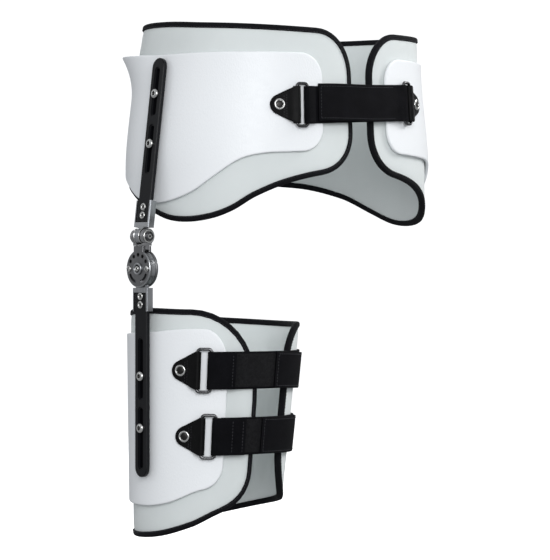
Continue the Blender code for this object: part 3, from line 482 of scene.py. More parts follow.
# ---------------------------------------------------------------- materials
class Look:
    """A procedural material: node() adds a node, and a socket given as input is linked."""

    def __init__(self, name, **values):
        self.made = bpy.data.materials.new(name)
        self.made.use_nodes = True
        self.tree = self.made.node_tree
        self.shader = self.tree.nodes["Principled BSDF"]
        for key, value in values.items():
            self.shader.inputs[key.replace("_", " ")].default_value = value
        self.place = self.node("ShaderNodeTexCoord").outputs["Object"]

    def node(self, kind, values=None, **settings):
        made = self.tree.nodes.new(kind)
        for key, value in settings.items():
            setattr(made, key, value)
        for key, value in (values or {}).items():
            socket = made.inputs[key]
            if isinstance(value, bpy.types.NodeSocket):
                self.tree.links.new(value, socket)
            else:
                socket.default_value = value
        return made

    def noise(self, scale, detail=2.0, roughness=0.5, place=None, distortion=0.0):
        values = {"Vector": place or self.place, "Scale": scale, "Detail": detail,
                  "Roughness": roughness, "Distortion": distortion}
        return self.node("ShaderNodeTexNoise", values).outputs["Fac"]

    def cells(self, scale, place=None):
        values = {"Vector": place or self.place, "Scale": scale}
        return self.node("ShaderNodeTexVoronoi", values, feature="SMOOTH_F1").outputs["Distance"]

    def stretched(self, scale, turn=(0, 0, 0)):
        values = {"Vector": self.place, "Scale": scale, "Rotation": turn}
        return self.node("ShaderNodeMapping", values).outputs["Vector"]

    def yarns(self, direction, scale, distortion, turn=0.0):
        """Waves over the mesh's weave map, which is in millimetres."""
        uv = self.node("ShaderNodeUVMap", uv_map="weave").outputs["UV"]
        place = self.node("ShaderNodeMapping", {"Vector": uv, "Rotation": (0, 0, turn)}).outputs["Vector"]
        return self.waves(place, direction, scale, distortion)

    def waves(self, place, direction, scale, distortion):
        values = {"Vector": place, "Scale": scale, "Distortion": distortion, "Detail": 1.0}
        return self.node("ShaderNodeTexWave", values, bands_direction=direction).outputs["Fac"]

    def sum(self, one, two, operation="ADD"):
        return self.node("ShaderNodeMath", {0: one, 1: two}, operation=operation).outputs[0]

    def product(self, one, two):
        return self.sum(one, two, "MULTIPLY")

    def ramp(self, factor, low, high, from_low=0.0, from_high=1.0):
        values = {"Value": factor, "From Min": from_low, "From Max": from_high,
                  "To Min": low, "To Max": high}
        return self.node("ShaderNodeMapRange", values).outputs["Result"]

    def colours(self, factor, one, two):
        made = self.node("ShaderNodeMix", {"Factor": factor}, data_type="RGBA")
        made.inputs["A"].default_value = (*one, 1)
        made.inputs["B"].default_value = (*two, 1)
        return made.outputs["Result"]

    def finish(self, colour=None, roughness=None, height=None, depth=0.0003, strength=1.0):
        for key, value in (("Base Color", colour), ("Roughness", roughness)):
            if value is not None:
                self.tree.links.new(value, self.shader.inputs[key])
        if height is not None:
            values = {"Height": height, "Distance": depth, "Strength": strength}
            bump = self.node("ShaderNodeBump", values)
            self.tree.links.new(bump.outputs["Normal"], self.shader.inputs["Normal"])
        return self.made


def shell_look():
    look = Look("pebbled_thermoplastic", Specular_IOR_Level=0.45)
    grain = look.stretched((1.0, 1.0, 0.62), (0.5, 0.7, 0.0))
    pebbles = look.cells(760.0, grain)
    fine = look.noise(1500.0, 3.0)
    cloud = look.noise(7.0, 3.0, 0.55)
    scuff = look.noise(90.0, 4.0, 0.7, look.stretched((1.0, 1.0, 3.0)))
    tint = look.colours(cloud, (0.84, 0.862, 0.885), (0.895, 0.908, 0.925))
    height = look.sum(look.product(pebbles, 1.4), look.product(fine, 0.35))
    return look.finish(tint, look.ramp(scuff, 0.36, 0.54, 0.3, 0.7), height, 0.00016, 0.8)


def liner_look():
    look = Look("knitted_liner", Sheen_Weight=0.35, Sheen_Roughness=0.45, Specular_IOR_Level=0.25)
    courses = look.yarns("Y", 0.30, 0.6)
    wales = look.yarns("X", 0.36, 0.5)
    knit = look.product(courses, wales)
    fuzz = look.noise(1400.0, 3.0, 0.6)
    cloud = look.noise(11.0, 4.0, 0.6)
    shade = look.sum(look.product(knit, 0.35), look.product(cloud, 0.65))
    tint = look.colours(shade, (0.660, 0.700, 0.697), (0.810, 0.845, 0.842))
    height = look.sum(knit, look.product(fuzz, 0.6))
    return look.finish(tint, look.ramp(fuzz, 0.82, 0.98), height, 0.00022, 0.75)


def binding_look():
    look = Look("folded_binding_tape", Specular_IOR_Level=0.13)
    twill = look.yarns("X", 0.36, 0.4, 0.7)
    yarn = look.yarns("Y", 0.42, 0.4)
    fuzz = look.noise(1300.0, 3.0, 0.6)
    mixed = look.product(twill, look.ramp(yarn, 0.6, 1.0))
    shade = look.product(mixed, look.noise(40.0, 2.0))
    tint = look.colours(shade, (0.0018, 0.0018, 0.0028), (0.0110, 0.0110, 0.0150))
    height = look.sum(mixed, look.product(fuzz, 0.7))
    return look.finish(tint, look.ramp(fuzz, 0.62, 0.85), height, 0.00024, 0.85)


def webbing_look():
    look = Look("ribbed_webbing", Specular_IOR_Level=0.07)
    ribs = look.yarns("X", 0.27, 0.35)
    yarns = look.yarns("Y", 0.40, 0.7)
    weave = look.product(look.ramp(ribs, 0.35, 1.0), look.ramp(yarns, 0.55, 1.0))
    fuzz = look.noise(1100.0, 4.0, 0.65)
    worn = look.noise(55.0, 3.0, 0.6)
    shade = look.product(weave, worn)
    tint = look.colours(shade, (0.0005, 0.0005, 0.0010), (0.0120, 0.0120, 0.0155))
    height = look.sum(weave, look.product(fuzz, 0.5))
    return look.finish(tint, look.ramp(fuzz, 0.68, 0.92), height, 0.00030, 0.9)


def loop_pile_look():
    look = Look("loop_pile", Sheen_Weight=0.03, Sheen_Roughness=0.35, Specular_IOR_Level=0.10)
    tufts = look.cells(820.0)
    fuzz = look.noise(1500.0, 5.0, 0.75, distortion=0.6)
    shade = look.product(fuzz, look.noise(300.0, 3.0, 0.7))
    tint = look.colours(shade, (0.0012, 0.0012, 0.0015), (0.0330, 0.0330, 0.0365))
    height = look.sum(look.product(fuzz, 1.4), tufts, "SUBTRACT")
    return look.finish(tint, look.ramp(fuzz, 0.8, 1.0), height, 0.00060, 1.0)


def tab_look():
    look = Look("coated_tab", Specular_IOR_Level=0.10)
    threads = look.yarns("X", 0.45, 0.3, 0.785)
    crumple = look.noise(120.0, 4.0, 0.6)
    fine = look.noise(1600.0, 2.0)
    tint = look.colours(crumple, (0.0010, 0.0010, 0.0012), (0.0050, 0.0049, 0.0054))
    height = look.sum(look.product(threads, 0.5), look.product(fine, 0.6))
    return look.finish(tint, look.ramp(crumple, 0.34, 0.56, 0.3, 0.7), height, 0.00014, 0.8)


def thread_look():
    look = Look("sewing_thread", Specular_IOR_Level=0.3)
    twist = look.waves(look.stretched((1.0, 1.0, 1.0), (0.8, 0.3, 0.4)), "X", 700.0, 0.5)
    tint = look.colours(twist, (0.008, 0.008, 0.010), (0.050, 0.050, 0.058))
    return look.finish(tint, look.ramp(twist, 0.55, 0.75), twist, 0.0001, 0.6)


def painted_look():
    look = Look("satin_black_bar", Metallic=0.0, Specular_IOR_Level=0.20)
    peel = look.noise(700.0, 3.0, 0.5)
    wear = look.noise(160.0, 5.0, 0.7, look.stretched((1.0, 1.0, 0.35)))
    tint = look.colours(wear, (0.0020, 0.0022, 0.0032), (0.0060, 0.0064, 0.0085))
    rough = look.ramp(wear, 0.30, 0.46, 0.3, 0.7)
    return look.finish(tint, rough, look.sum(peel, wear), 0.00005, 0.5)


def slot_strip_look():
    # Dark strip seen through the bar slots; it makes the slots read dark.
    look = Look("dark_slot_strip", Specular_IOR_Level=0.2)
    grain = look.noise(1100.0, 4.0, 0.6)
    tint = look.colours(grain, (0.0022, 0.0022, 0.0026), (0.0065, 0.0065, 0.0075))
    return look.finish(tint, look.ramp(grain, 0.6, 0.85), grain, 0.00012, 0.7)


def metal_look(name, dark, light, rough, streaks, strength=0.5):
    """Brushed or drawn metal: streaks is how much finer the grain is across than along."""
    look = Look(name, Metallic=1.0)
    grain = look.noise(1.0, 5.0, 0.65, look.stretched(streaks))
    smear = look.noise(70.0, 3.0, 0.6)
    tint = look.colours(look.product(grain, look.ramp(smear, 0.7, 1.3)), dark, light)
    return look.finish(tint, look.ramp(grain, *rough, 0.25, 0.75), grain, 0.00005, strength)


def painted_shade_look():
    # Painted shade: dark metal laid into holes, recesses and gaps where shade falls.
    look = Look("painted_shade_dark_metal", Metallic=1.0)
    grain = look.noise(900.0, 4.0, 0.7)
    tint = look.colours(grain, (0.012, 0.012, 0.013), (0.06, 0.058, 0.055))
    return look.finish(tint, look.ramp(grain, 0.3, 0.5), grain, 0.00008, 0.7)


LOOKS = {
    "shell": shell_look(),
    "liner": liner_look(),
    "binding": binding_look(),
    "webbing": webbing_look(),
    "pile": loop_pile_look(),
    "tab": tab_look(),
    "thread": thread_look(),
    "bar": painted_look(),
    "slot_strip": slot_strip_look(),
    "gunmetal": metal_look("brushed_gunmetal", (0.15, 0.15, 0.155), (0.25, 0.25, 0.255),
                           (0.30, 0.40), (160.0, 160.0, 40.0), 0.2),
    "steel": metal_look("drawn_steel", (0.30, 0.305, 0.315), (0.47, 0.48, 0.495),
                        (0.24, 0.34), (420.0, 420.0, 12.0), 0.2),
    "yoke": metal_look("turned_steel", (0.26, 0.26, 0.265), (0.42, 0.42, 0.43),
                       (0.26, 0.36), (120.0, 420.0, 120.0), 0.2),
    "head": metal_look("dark_bolt_head", (0.06, 0.06, 0.065), (0.14, 0.14, 0.145),
                       (0.22, 0.34), (300.0, 300.0, 300.0), 0.25),
    "nickel": metal_look("bright_nickel", (0.50, 0.50, 0.49), (0.70, 0.695, 0.68),
                         (0.18, 0.28), (260.0, 260.0, 260.0), 0.12),
    "ring_wire": metal_look("black_nickel_wire", (0.05, 0.05, 0.053), (0.17, 0.17, 0.175),
                            (0.16, 0.32), (600.0, 600.0, 600.0), 0.3),
    # Painted shade for holes, recesses and gaps.
    "socket": painted_shade_look(),
}


# ---------------------------------------------------------------- pieces
def link(made):
    bpy.context.scene.collection.objects.link(made)
    return made


def piece(name, mesh, body, slot, look=None, replaced=()):
    """Add a mesh that rides on a body; its look is its slot's unless another is given."""
    made = link(bpy.data.objects.new(name, mesh))
    mesh.materials.append(LOOKS[look or slot])
    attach(made, body)
    if replaced:
        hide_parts(*replaced)
    return made


SHELL_RIM = ((3.0, 0.0), (1.2, 0.05), (0.4, 0.35), (0.0, 1.0), (0.0, 2.5), (0.4, 3.15),
             (1.0, 3.42), (1.8, SHELL_T), (3.2, SHELL_T))
LINER_RIM = ((24.0, LINER_BACK), (17.0, LINER_BACK + 0.3), (12.0, LINER_BACK + 1.2),
             (8.0, LINER_BACK + 2.7), (5.0, -6.4), (3.8, -5.6), (3.6, -4.2), (3.8, -2.8), (5.0, -2.2),
             (8.0, -1.6), (12.0, -1.2), (16.0, -LAYER_GAP))
BINDING_SECTION = ((6.2, -1.7), (6.0, -0.85), (5.2, -0.45), (3.6, -0.32), (2.0, -0.5), (0.9, -1.1),
                   (0.2, -2.3), (0.0, -3.9), (0.2, -5.6), (0.9, -6.8), (2.0, -7.4), (3.6, -7.7),
                   (5.2, -7.9), (6.0, -7.8), (6.2, -7.1))


BINDING_SEAM = (5.0, -0.42)
PUFF_FRAMES = 20
PUFF_PRESSURE = 4.0
LINER_MIDDLE = -4.0


def swell(pad):
    """How far each vertex moves when the pad is blown up by a cloth simulation."""
    cloth = pad.modifiers.new("padding", "CLOTH")
    cloth.settings.quality = 5
    cloth.settings.use_pressure = True
    cloth.settings.uniform_pressure_force = PUFF_PRESSURE
    cloth.settings.vertex_group_mass = "held"
    cloth.settings.effector_weights.gravity = 0.0
    cloth.point_cache.frame_end = PUFF_FRAMES
    scene = bpy.context.scene
    for moment in range(1, PUFF_FRAMES + 1):
        scene.frame_set(moment)
    swollen = pad.evaluated_get(bpy.context.evaluated_depsgraph_get()).data.vertices
    moved = [swollen[k].co - vert.co for k, vert in enumerate(pad.data.vertices)]
    pad.modifiers.remove(cloth)
    scene.frame_set(1)
    return moved


def puff(pad, liner, shell, room):
    """Pad a liner that is held under its shell and along its sewn rim.

    room(z, offset) limits how far each place may move, in millimetres.
    """
    held = pad.vertex_groups.new(name="held")
    for index, (angle, z, offset) in enumerate(liner.spots):
        under_shell = offset > LINER_MIDDLE and shell.covers(angle, z, 3.0)
        if under_shell or not liner.covers(angle, z, -BINDING_W):
            held.add([index], 1.0, "REPLACE")
    for vert, (angle, z, offset), shift in zip(pad.data.vertices, liner.spots, swell(pad)):
        limit = room(z, offset) * MM
        if shift.length > 1e-7:
            vert.co += shift.normalized() * limit * tanh(shift.length / limit)
    pad.vertex_groups.remove(held)


def add_liner(label, liner, shell, room, body, nodes):
    """The padded liner, its edge binding and the binding's seam."""
    pad = piece(label + "_liner", liner.skin("liner", LINER_RIM), body, "liner", replaced=nodes[:1])
    puff(pad, liner, shell, room)
    piece(label + "_binding", liner.band("binding", BINDING_SECTION), body, "binding",
          replaced=nodes[1:])
    seam = liner.line(*BINDING_SEAM)
    piece(label + "_seam", stitches("seam", [seam + seam[:1]], liner.flip), body, "binding", "thread")


def pelvic_room(z, offset):
    return 2.4 if offset > LINER_MIDDLE else 2.0


def thigh_room(z, offset):
    """Under a strap the padding can only rise a little."""
    if offset < LINER_MIDDLE:
        return 2.0
    near = min(abs(z - strap[0]) for strap in THIGH_STRAPS.values())
    return 0.8 + 1.8 * smoothstep((near - 22.0) / 10.0)


def add_girdle_half(side, flip, shell_start, liner_start):
    corners = ((9, 24), (10, 27), (10, 24), (10, 26))
    shell = Panel(pelvic_point, shell_start, 160, PELVIC_SHELL_LOW, PELVIC_SHELL_HIGH, corners,
                  64, 30, flip, shell_flare)
    piece(side + "_pelvic_shell", shell.skin("shell", SHELL_RIM), "pelvic_girdle", "shell",
          replaced=["pelvic_shell_" + side])
    corners = ((17, 42), (19, 50), (16, 34), (16, 34))
    liner = Panel(pelvic_point, liner_start, 174, PELVIC_LINER_LOW, PELVIC_LINER_HIGH, corners,
                  72, 34, flip, liner_lean)
    add_liner(side + "_pelvic", liner, shell, pelvic_room, "pelvic_girdle",
              ["pelvic_liner_" + side, "pelvic_binding_" + side])


RIVET = [(0.0, -1.0), (6.2, -0.9), (6.2, 0.4), (6.05, 0.9), (5.7, 1.3), (5.1, 1.6), (4.6, 1.55),
         (4.25, 1.25), (4.1, 0.7), (0.0, 0.6)]
# Painted shade: a dark dome that fills the rivet's hollow middle.
RIVET_SHADE_CORE = [(0.0, 0.5), (4.0, 0.5), (3.9, 0.8), (3.2, 1.1), (1.8, 1.3), (0.0, 1.36)]


class Closure:
    """A tab, its rivet and its wire ring on a form."""

    TIP = 28.0
    RIVET = 18.0
    TIP_R = 11.0
    SLOPE_FROM = 6.1
    SLOPE = 0.5

    def __init__(self, form, angle, z, sense, width, flip=1):
        self.form, self.z, self.sense, self.flip = form, z, sense, flip
        self.angle, self.width = angle, width
        self.per_mm = degrees_per_mm(form, angle, z)
        self.tab_bar = angle + sense * width / 2 * self.per_mm
        self.strap_bar = angle - sense * width / 2 * self.per_mm
        self.rivet_angle = self.tab_bar + sense * self.RIVET * self.per_mm

    def half_height(self, from_tip):
        if from_tip < self.SLOPE_FROM:
            return sqrt(max(0.09, self.TIP_R ** 2 - (self.TIP_R - from_tip) ** 2))
        start = sqrt(self.TIP_R ** 2 - (self.TIP_R - self.SLOPE_FROM) ** 2)
        return min(STRAP_W / 2, start + self.SLOPE * (from_tip - self.SLOPE_FROM))

    def tab(self, name):
        reach = [self.TIP_R * (1 - cos(radians(t))) for t in range(0, 66, 6)]
        flat_run = [(self.TIP - r, LOW_LAYER) for r in reach] + [(18.0, LOW_LAYER), (12.2, LOW_LAYER + 0.1)]
        rise = [(8.4, LOW_LAYER + 1.9), (4.5, TOP_LAYER + 1.9)]
        fold = loop_points(False) + [(1.4, LOW_LAYER), (3.0, LOW_LAYER)]
        points = [tuple(p) for p in smooth_path(flat_run + rise + fold)]
        folded = min(range(len(points)), key=lambda k: points[k][0])
        halves = [self.half_height(self.TIP - u) if k < folded else STRAP_W / 2
                  for k, (u, w) in enumerate(points)]
        path = along_form(self.form, self.tab_bar, self.z, points, self.sense)
        return ribbon(name, self.form, path, self.z, flip=self.flip, halves=halves)

    def seam(self):
        """Two rows of stitches where the tab's fold is sewn together."""
        lines = []
        for along, height in ((10.6, LOW_LAYER + 0.75), (13.4, LOW_LAYER + 0.03)):
            angle = self.tab_bar + self.sense * along * self.per_mm
            reach = self.half_height(self.TIP - along) - 2.2
            places = [(angle, z) for z in steps(self.z - reach, self.z + reach, 12)]
            lines.append(seam_through(self.form, places, SHELL_T + height + STRAP_T / 2))
        return stitches("seam", lines, self.flip, pitch=2.8, reach=1.9, radius=0.26)

    def ring(self, name):
        bend = 3.5
        half_u, half_z = self.width / 2, RING_H / 2
        spots = []
        for cu, cz, first in ((1, 1, 0), (-1, 1, 90), (-1, -1, 180), (1, -1, 270)):
            for k in range(7):
                t = radians(first + 15 * k)
                spots.append((cu * (half_u - bend) + bend * cos(t),
                              cz * (half_z - bend) + bend * sin(t)))
            if cu * cz > 0:
                continue
            spots += [(cu * half_u, cz * (half_z - bend) * (1 - 2 * s / 8)) for s in range(1, 8)]
        normal = outward(self.form, self.angle, self.z)
        line = [(self.form(self.angle + u * self.per_mm, self.z + v, SHELL_T + RING_LIFT), normal)
                for u, v in spots]
        build = Builder(self.flip)
        tube(build, line, WIRE_R, 12, True)
        return build.mesh(name, 60)

    def rivet_place(self):
        """The rivet's placement, before any mirror."""
        normal = outward(self.form, self.rivet_angle, self.z)
        head = BAR_REST + STRAP_T + GAP
        return aim(self.form(self.rivet_angle, self.z, SHELL_T) + normal * head, normal)

    def add(self, label, body, replaced):
        tab, rivet, ring = replaced
        piece(label + "_tab", self.tab(tab), body, "tab", replaced=[tab])
        build = Builder(self.flip)
        turned(build, RIVET, self.rivet_place())
        piece(label + "_rivet", build.mesh(rivet, 50), body, "nickel", replaced=[rivet])
        # Painted shade: a dark dome in the rivet's hollow middle.
        core = Builder(self.flip)
        turned(core, RIVET_SHADE_CORE, self.rivet_place(), 32)
        piece(label + "_rivet_core", core.mesh("core", 50), body, "gunmetal", "socket")
        piece(label + "_tab_seam", self.seam(), body, "tab", "thread")
        piece(label + "_ring", self.ring(ring), body, "ring_wire", replaced=[ring])


def strap_fold(form, bar, z, sense):
    """A tail's first part: from under the base, round the ring's wire and back on top."""
    points = [(1.2, LOW_LAYER)] + loop_points(True) + [(5.0, TOP_LAYER + 2.2), (11.0, TOP_LAYER + 0.6)]
    return along_form(form, bar, z, points, sense)


def add_pelvic_strap(prefix, bars, heights, tail_end):
    """The base is sewn round the first ring, and the tail turns round the second."""
    form = pelvic_point
    first, last = bars
    z, end_z = heights
    per_mm = degrees_per_mm(form, first, z)
    sense = -1 if first > last else 1

    def climb(angle):
        return z + (end_z - z) * min(max((angle - first) / (last - first), 0.0), 1.0)

    def tail_climb(angle):
        share = (angle - last) / (tail_end - last)
        return climb(angle) + TAIL_LIFT * smoothstep((share - 0.3) / 0.7)

    sewn = along_form(form, first, z, [(9.0, TOP_LAYER), (4.5, TOP_LAYER + 2.0)] + loop_points(False), sense)
    begin, stop = first + sense * 4.0 * per_mm, last - sense * 5.0 * per_mm
    run = [(angle, ON_SHELL) for angle in steps(begin, stop, 14)]
    path = smooth_path(sewn + run)
    base = ribbon(prefix + "_base", form, path, z, drop=[climb(a) - z for a, w in path])
    piece(prefix + "_strap", base, "pelvic_girdle", "webbing", replaced=[prefix + "_strap_base"])
    near = last - sense * 17.0 * per_mm
    rest = [(angle, SHELL_T + TOP_LAYER) for angle in steps(near, tail_end, 12)]
    path = smooth_path(strap_fold(form, last, end_z, -sense) + rest)
    tail = ribbon(prefix + "_tail", form, path, z, drop=[tail_climb(a) - z for a, w in path])
    back = tail_end + sense * 3.0 * per_mm
    lines = [end_seam(form, back, tail_climb(back), TAIL_TOP)]
    lines += edge_seams(form, back, near, tail_climb, TAIL_TOP)
    add_sewn(prefix + "_strap_flap", tail, prefix + "_tail", lines, [prefix + "_strap_tail"])


def seam_through(form, places, offset):
    """Points with their outward directions, through (angle, height) places."""
    return [(form(angle, z, offset), outward(form, angle, z)) for angle, z in places]


def end_seam(form, angle, z, top):
    """Stitches across a strap."""
    return seam_through(form, [(angle, h) for h in steps(z - STITCH_REACH, z + STITCH_REACH, 12)], top)


def edge_seams(form, start, end, height, top):
    """Stitches along both edges of a strap whose middle runs at height(angle)."""
    return [seam_through(form, [(angle, height(angle) + v) for angle in steps(start, end, 40)], top)
            for v in (-STITCH_REACH, STITCH_REACH)]


def add_sewn(name, mesh, body, lines, replaced=()):
    """A length of webbing and its rows of stitches."""
    piece(name, mesh, body, "webbing", replaced=replaced)
    piece(name + "_seam", stitches("seam", lines), body, "webbing", "thread")


def add_girdle():
    for side, flip, shell_start, liner_start in (("right", 1, 23.0, 5.5), ("left", -1, 14.5, 5.0)):
        add_girdle_half(side, flip, shell_start, liner_start)
    for end, middle, toward in (("front", 0.0, 1), ("back", 180.0, -1)):
        bars = []
        for (angle, z), side, flip in zip(PELVIC_RINGS[end], ("right", "left"), (1, -1)):
            closure = Closure(pelvic_point, angle, z, toward, 12.0, flip)
            names = [end + "_" + kind + "_" + side for kind in ("tab", "rivet", "ring")]
            closure.add(side + "_" + end, "pelvic_girdle", names)
            bars.append(closure.strap_bar)
        bars[1] = 2 * middle - bars[1]
        heights = [z for angle, z in PELVIC_RINGS[end]]
        add_pelvic_strap(end, bars, heights, PELVIC_TAIL_END[end])


# Middle of the base's climb from the liner on to the shell, as (angle, offset).
BASE_CLIMB = ((10, ON_LINER), (18, ON_LINER + 0.6), (25, ON_SHELL - 0.6), (31, ON_SHELL))


def add_thigh_base(name, z, begin):
    path = [(begin, ON_SHELL)] + list(BASE_CLIMB[::-1])
    path += [(1 - 9 * k, ON_LINER) for k in range(15)]
    path += [(-137, ON_LINER + 1.0), (-145, ON_SHELL - 0.8)]
    path += [(angle, ON_SHELL) for angle in (-151, -158, -166)]
    base = ribbon("base", thigh_point, smooth_path(path), z)
    piece("thigh_" + name + "_strap", base, "thigh_cuff", "webbing",
          replaced=["thigh_strap_base_" + name])


def add_thigh_tail(name, z, closure, end):
    form, bar = thigh_point, closure.strap_bar
    near = bar - 16.0 * closure.per_mm
    rest = [(angle, SHELL_T + TOP_LAYER) for angle in steps(near, end, 8)]
    tail = ribbon("tail", form, smooth_path(strap_fold(form, bar, z, -1) + rest), z)
    lines = [end_seam(form, end + inward, z, TAIL_TOP) for inward in (2.0, 9.0)]
    add_sewn("thigh_" + name + "_strap_flap", tail, "thigh_" + name + "_tail", lines,
             ["thigh_strap_tail_" + name])


def add_loop_pile(name, z, start, end):
    """The fuzzy stretch of the base that the tail sticks to."""
    climb = curve(BASE_CLIMB)
    path = [(angle, climb(angle) + STRAP_T / 2 + 0.25) for angle in steps(start, end, 8)]
    pile = ribbon("pile", thigh_point, smooth_path(path), z, half=STRAP_W / 2 - 2.2, thickness=0.9)
    piece("thigh_" + name + "_loop_pile", pile, "thigh_cuff", "webbing", "pile")


def add_overlap(name, z, start, stop, lean):
    """A second layer on the base that leans by `lean` millimetres over its length."""
    def rise(angle):
        return lean * (start - angle) / (start - stop)

    thickness = 2.4
    middle = ON_LINER + STRAP_T / 2 + 1.5
    path = smooth_path([(angle, middle) for angle in steps(start, stop, 16)])
    mesh = ribbon("flap", thigh_point, path, z, half=STRAP_W / 2 - 0.4, thickness=thickness,
                  drop=[rise(angle) for angle, offset in path])
    top = middle + thickness / 2
    lines = [end_seam(thigh_point, start - 2.0, z, top)]
    lines += edge_seams(thigh_point, start - 2.0, stop + 2.0, lambda angle: z + rise(angle), top)
    add_sewn("thigh_" + name + "_overlap", mesh, "thigh_cuff", lines)


def add_thigh_strap(name, z, ring_angle, tail_end, overlap):
    closure = Closure(thigh_point, ring_angle, z, 1, THIGH_RING_W)
    nodes = ["thigh_" + kind + "_" + name for kind in ("tab", "rivet", "ring")]
    closure.add("thigh_" + name, "thigh_cuff", nodes)
    add_thigh_base(name, z, closure.strap_bar - 5.0 * closure.per_mm)
    add_thigh_tail(name, z, closure, tail_end)
    add_loop_pile(name, z, tail_end + 6, overlap[0] - 3)
    add_overlap(name, z, *overlap)


def add_cuff():
    shell = Panel(thigh_point, 31, 205, THIGH_SHELL_LOW, THIGH_SHELL_HIGH,
                  ((13, 22), (17, 44), (16, 30), (16, 30)), 60, 30)
    piece("cuff_shell", shell.skin("shell", SHELL_RIM), "thigh_cuff", "shell",
          replaced=["thigh_shell"])
    liner = Panel(thigh_point, 7, 339, THIGH_LINER_LOW, THIGH_LINER_HIGH,
                  ((26, 40), (50, 98), (30, 60), (24, 38)), 90, 34)
    add_liner("cuff", liner, shell, thigh_room, "thigh_cuff", ["thigh_liner", "thigh_binding"])
    for name, strap in THIGH_STRAPS.items():
        add_thigh_strap(name, *strap)


# ---------------------------------------------------------------- metal and fasteners
UPPER = Matrix.Translation((UPRIGHT_X, 0, ABDUCTION_Z)) @ Matrix.Rotation(UPRIGHT_TILT, 4, "Y")
LOWER = Matrix.Translation((UPRIGHT_X, 0, 0))
FLEXION = LOWER @ Matrix.Rotation(-pi / 2, 4, "Y")
PIVOT = Matrix.Translation((UPRIGHT_X, 0, ABDUCTION_Z)) @ Matrix.Rotation(pi / 2, 4, "X")
KEPT = {
    "bar": ("upper_bar", "lower_bar"),
    "steel": ("upper_bracket", "lower_bracket", "hinge_rotor", "pelvic_slot_nut_upper",
              "pelvic_slot_nut_lower", "thigh_slot_nut_upper", "thigh_slot_nut_lower"),
    "yoke": ("abduction_yoke",),
    "gunmetal": ("hinge_outer_plate", "hinge_inner_plate"),
    "nickel": ("abduction_nut",),
}
EDGE_ROUND = {"upper_bracket": 0.6, "lower_bracket": 0.5, "abduction_yoke": 0.9,
              "hinge_outer_plate": 0.45, "hinge_inner_plate": 0.45, "hinge_rotor": 0.4}

SLOT_SCREW = [(0, -1.0), (2.4, -1.0), (2.4, 0.3), (5.2, 0.3), (5.2, 0.9), (5.0, 1.6), (4.5, 2.25),
              (3.7, 2.8), (2.9, 3.0), (2.5, 2.9), (2.35, 2.5), (2.3, 1.3), (0, 1.3)]
# Painted shade: a dark disc on the floor of the screw head's socket.
SLOT_SCREW_SHADE_CORE = [(0, 1.2), (2.25, 1.2), (2.25, 1.5), (0, 1.5)]
EYELET = [(0, -0.6), (2.0, -0.6), (2.0, 0.3), (4.1, 0.3), (4.1, 0.7), (3.9, 1.15), (3.4, 1.5),
          (2.8, 1.55), (2.3, 1.35), (1.95, 0.9), (1.8, 0.5), (0, 0.45)]
# Painted shade: a dark disc across the eyelet's hole.
EYELET_SHADE_CORE = [(0, 0.35), (1.75, 0.35), (1.75, 0.62), (0, 0.62)]
STOP_SCREW = [(0, 4.0), (1.9, 4.0), (1.9, 6.3), (3.3, 6.3), (3.3, 6.8), (3.1, 7.3), (2.4, 7.7),
              (1.2, 7.9), (0, 7.95)]
HUB = [(0, -8.0), (4.4, -8.0), (5.2, -7.4), (5.2, -6.3), (3.1, -6.3), (3.1, 6.3), (6.6, 6.3),
       (6.6, 7.2), (6.3, 7.8), (5.7, 8.1), (4.9, 8.0), (4.4, 7.6), (4.25, 7.0), (0, 7.0)]
# Painted shade: a dark disc on the floor of the hub head's recess, seen as a ring round the button.
HUB_RECESS_SHADE = [(0, 6.8), (4.2, 6.8), (4.2, 7.15), (0, 7.15)]
HUB_BUTTON = [(0, 7.0), (2.9, 7.0), (2.9, 7.9), (2.5, 8.4), (1.6, 8.5), (1.3, 8.2), (1.2, 7.5), (0, 7.5)]
# Painted shade: a dark disc on the floor of the button's socket.
HUB_SOCKET_SHADE = [(0, 7.4), (1.15, 7.4), (1.15, 7.65), (0, 7.65)]
PIVOT_WASHER = [(0, 9.4), (3.0, 9.4), (3.0, 10.5), (7.4, 10.5), (7.4, 10.9), (7.1, 11.4), (6.5, 11.6),
                (5.6, 11.5), (5.3, 11.2), (0, 11.2)]
PIVOT_HEAD = [(0, 11.0), (5.0, 11.0), (5.0, 12.9), (4.7, 13.4), (4.2, 13.6), (3.1, 13.6),
              (2.9, 13.3), (2.85, 12.6), (0, 12.6)]
PIVOT_SHIM = [(3.4, -0.4), (8.9, -0.4), (9.15, -0.15), (9.15, 0.15), (8.9, 0.4), (3.4, 0.4), (3.4, -0.4)]
# Painted shade: dark rings in the gaps between the yoke's discs.
PIVOT_GAP_SHADE = [(8.0, -0.5), (8.72, -0.5), (8.72, 0.5), (8.0, 0.5), (8.0, -0.5)]
PIVOT_BUTTON = [(0, 12.5), (2.75, 12.5), (2.7, 12.9), (1.9, 13.1), (1.35, 12.95), (1.3, 12.6), (0, 12.6)]


def dress_kept_nodes():
    """Looks and rounded edges for the CAD pieces that stay."""
    for look, names in KEPT.items():
        for name in names:
            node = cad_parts[name]
            node.data.materials.clear()
            node.data.materials.append(LOOKS[look])
            if name in EDGE_ROUND:
                edge = node.modifiers.new("edge", "BEVEL")
                edge.width = EDGE_ROUND[name] * MM
                edge.segments = 2
                edge.limit_method = "ANGLE"
                edge.angle_limit = radians(50)
                edge.harden_normals = True


def revolved(name, profile, placement, body, slot, look=None, replaced=(), segments=48):
    build = Builder()
    turned(build, profile, placement, segments)
    return piece(name, build.mesh(name, 42), body, slot, look, replaced)


def up_bar(z):
    """How far up the tilted bar a height is."""
    return (z - ABDUCTION_Z) / cos(UPRIGHT_TILT)


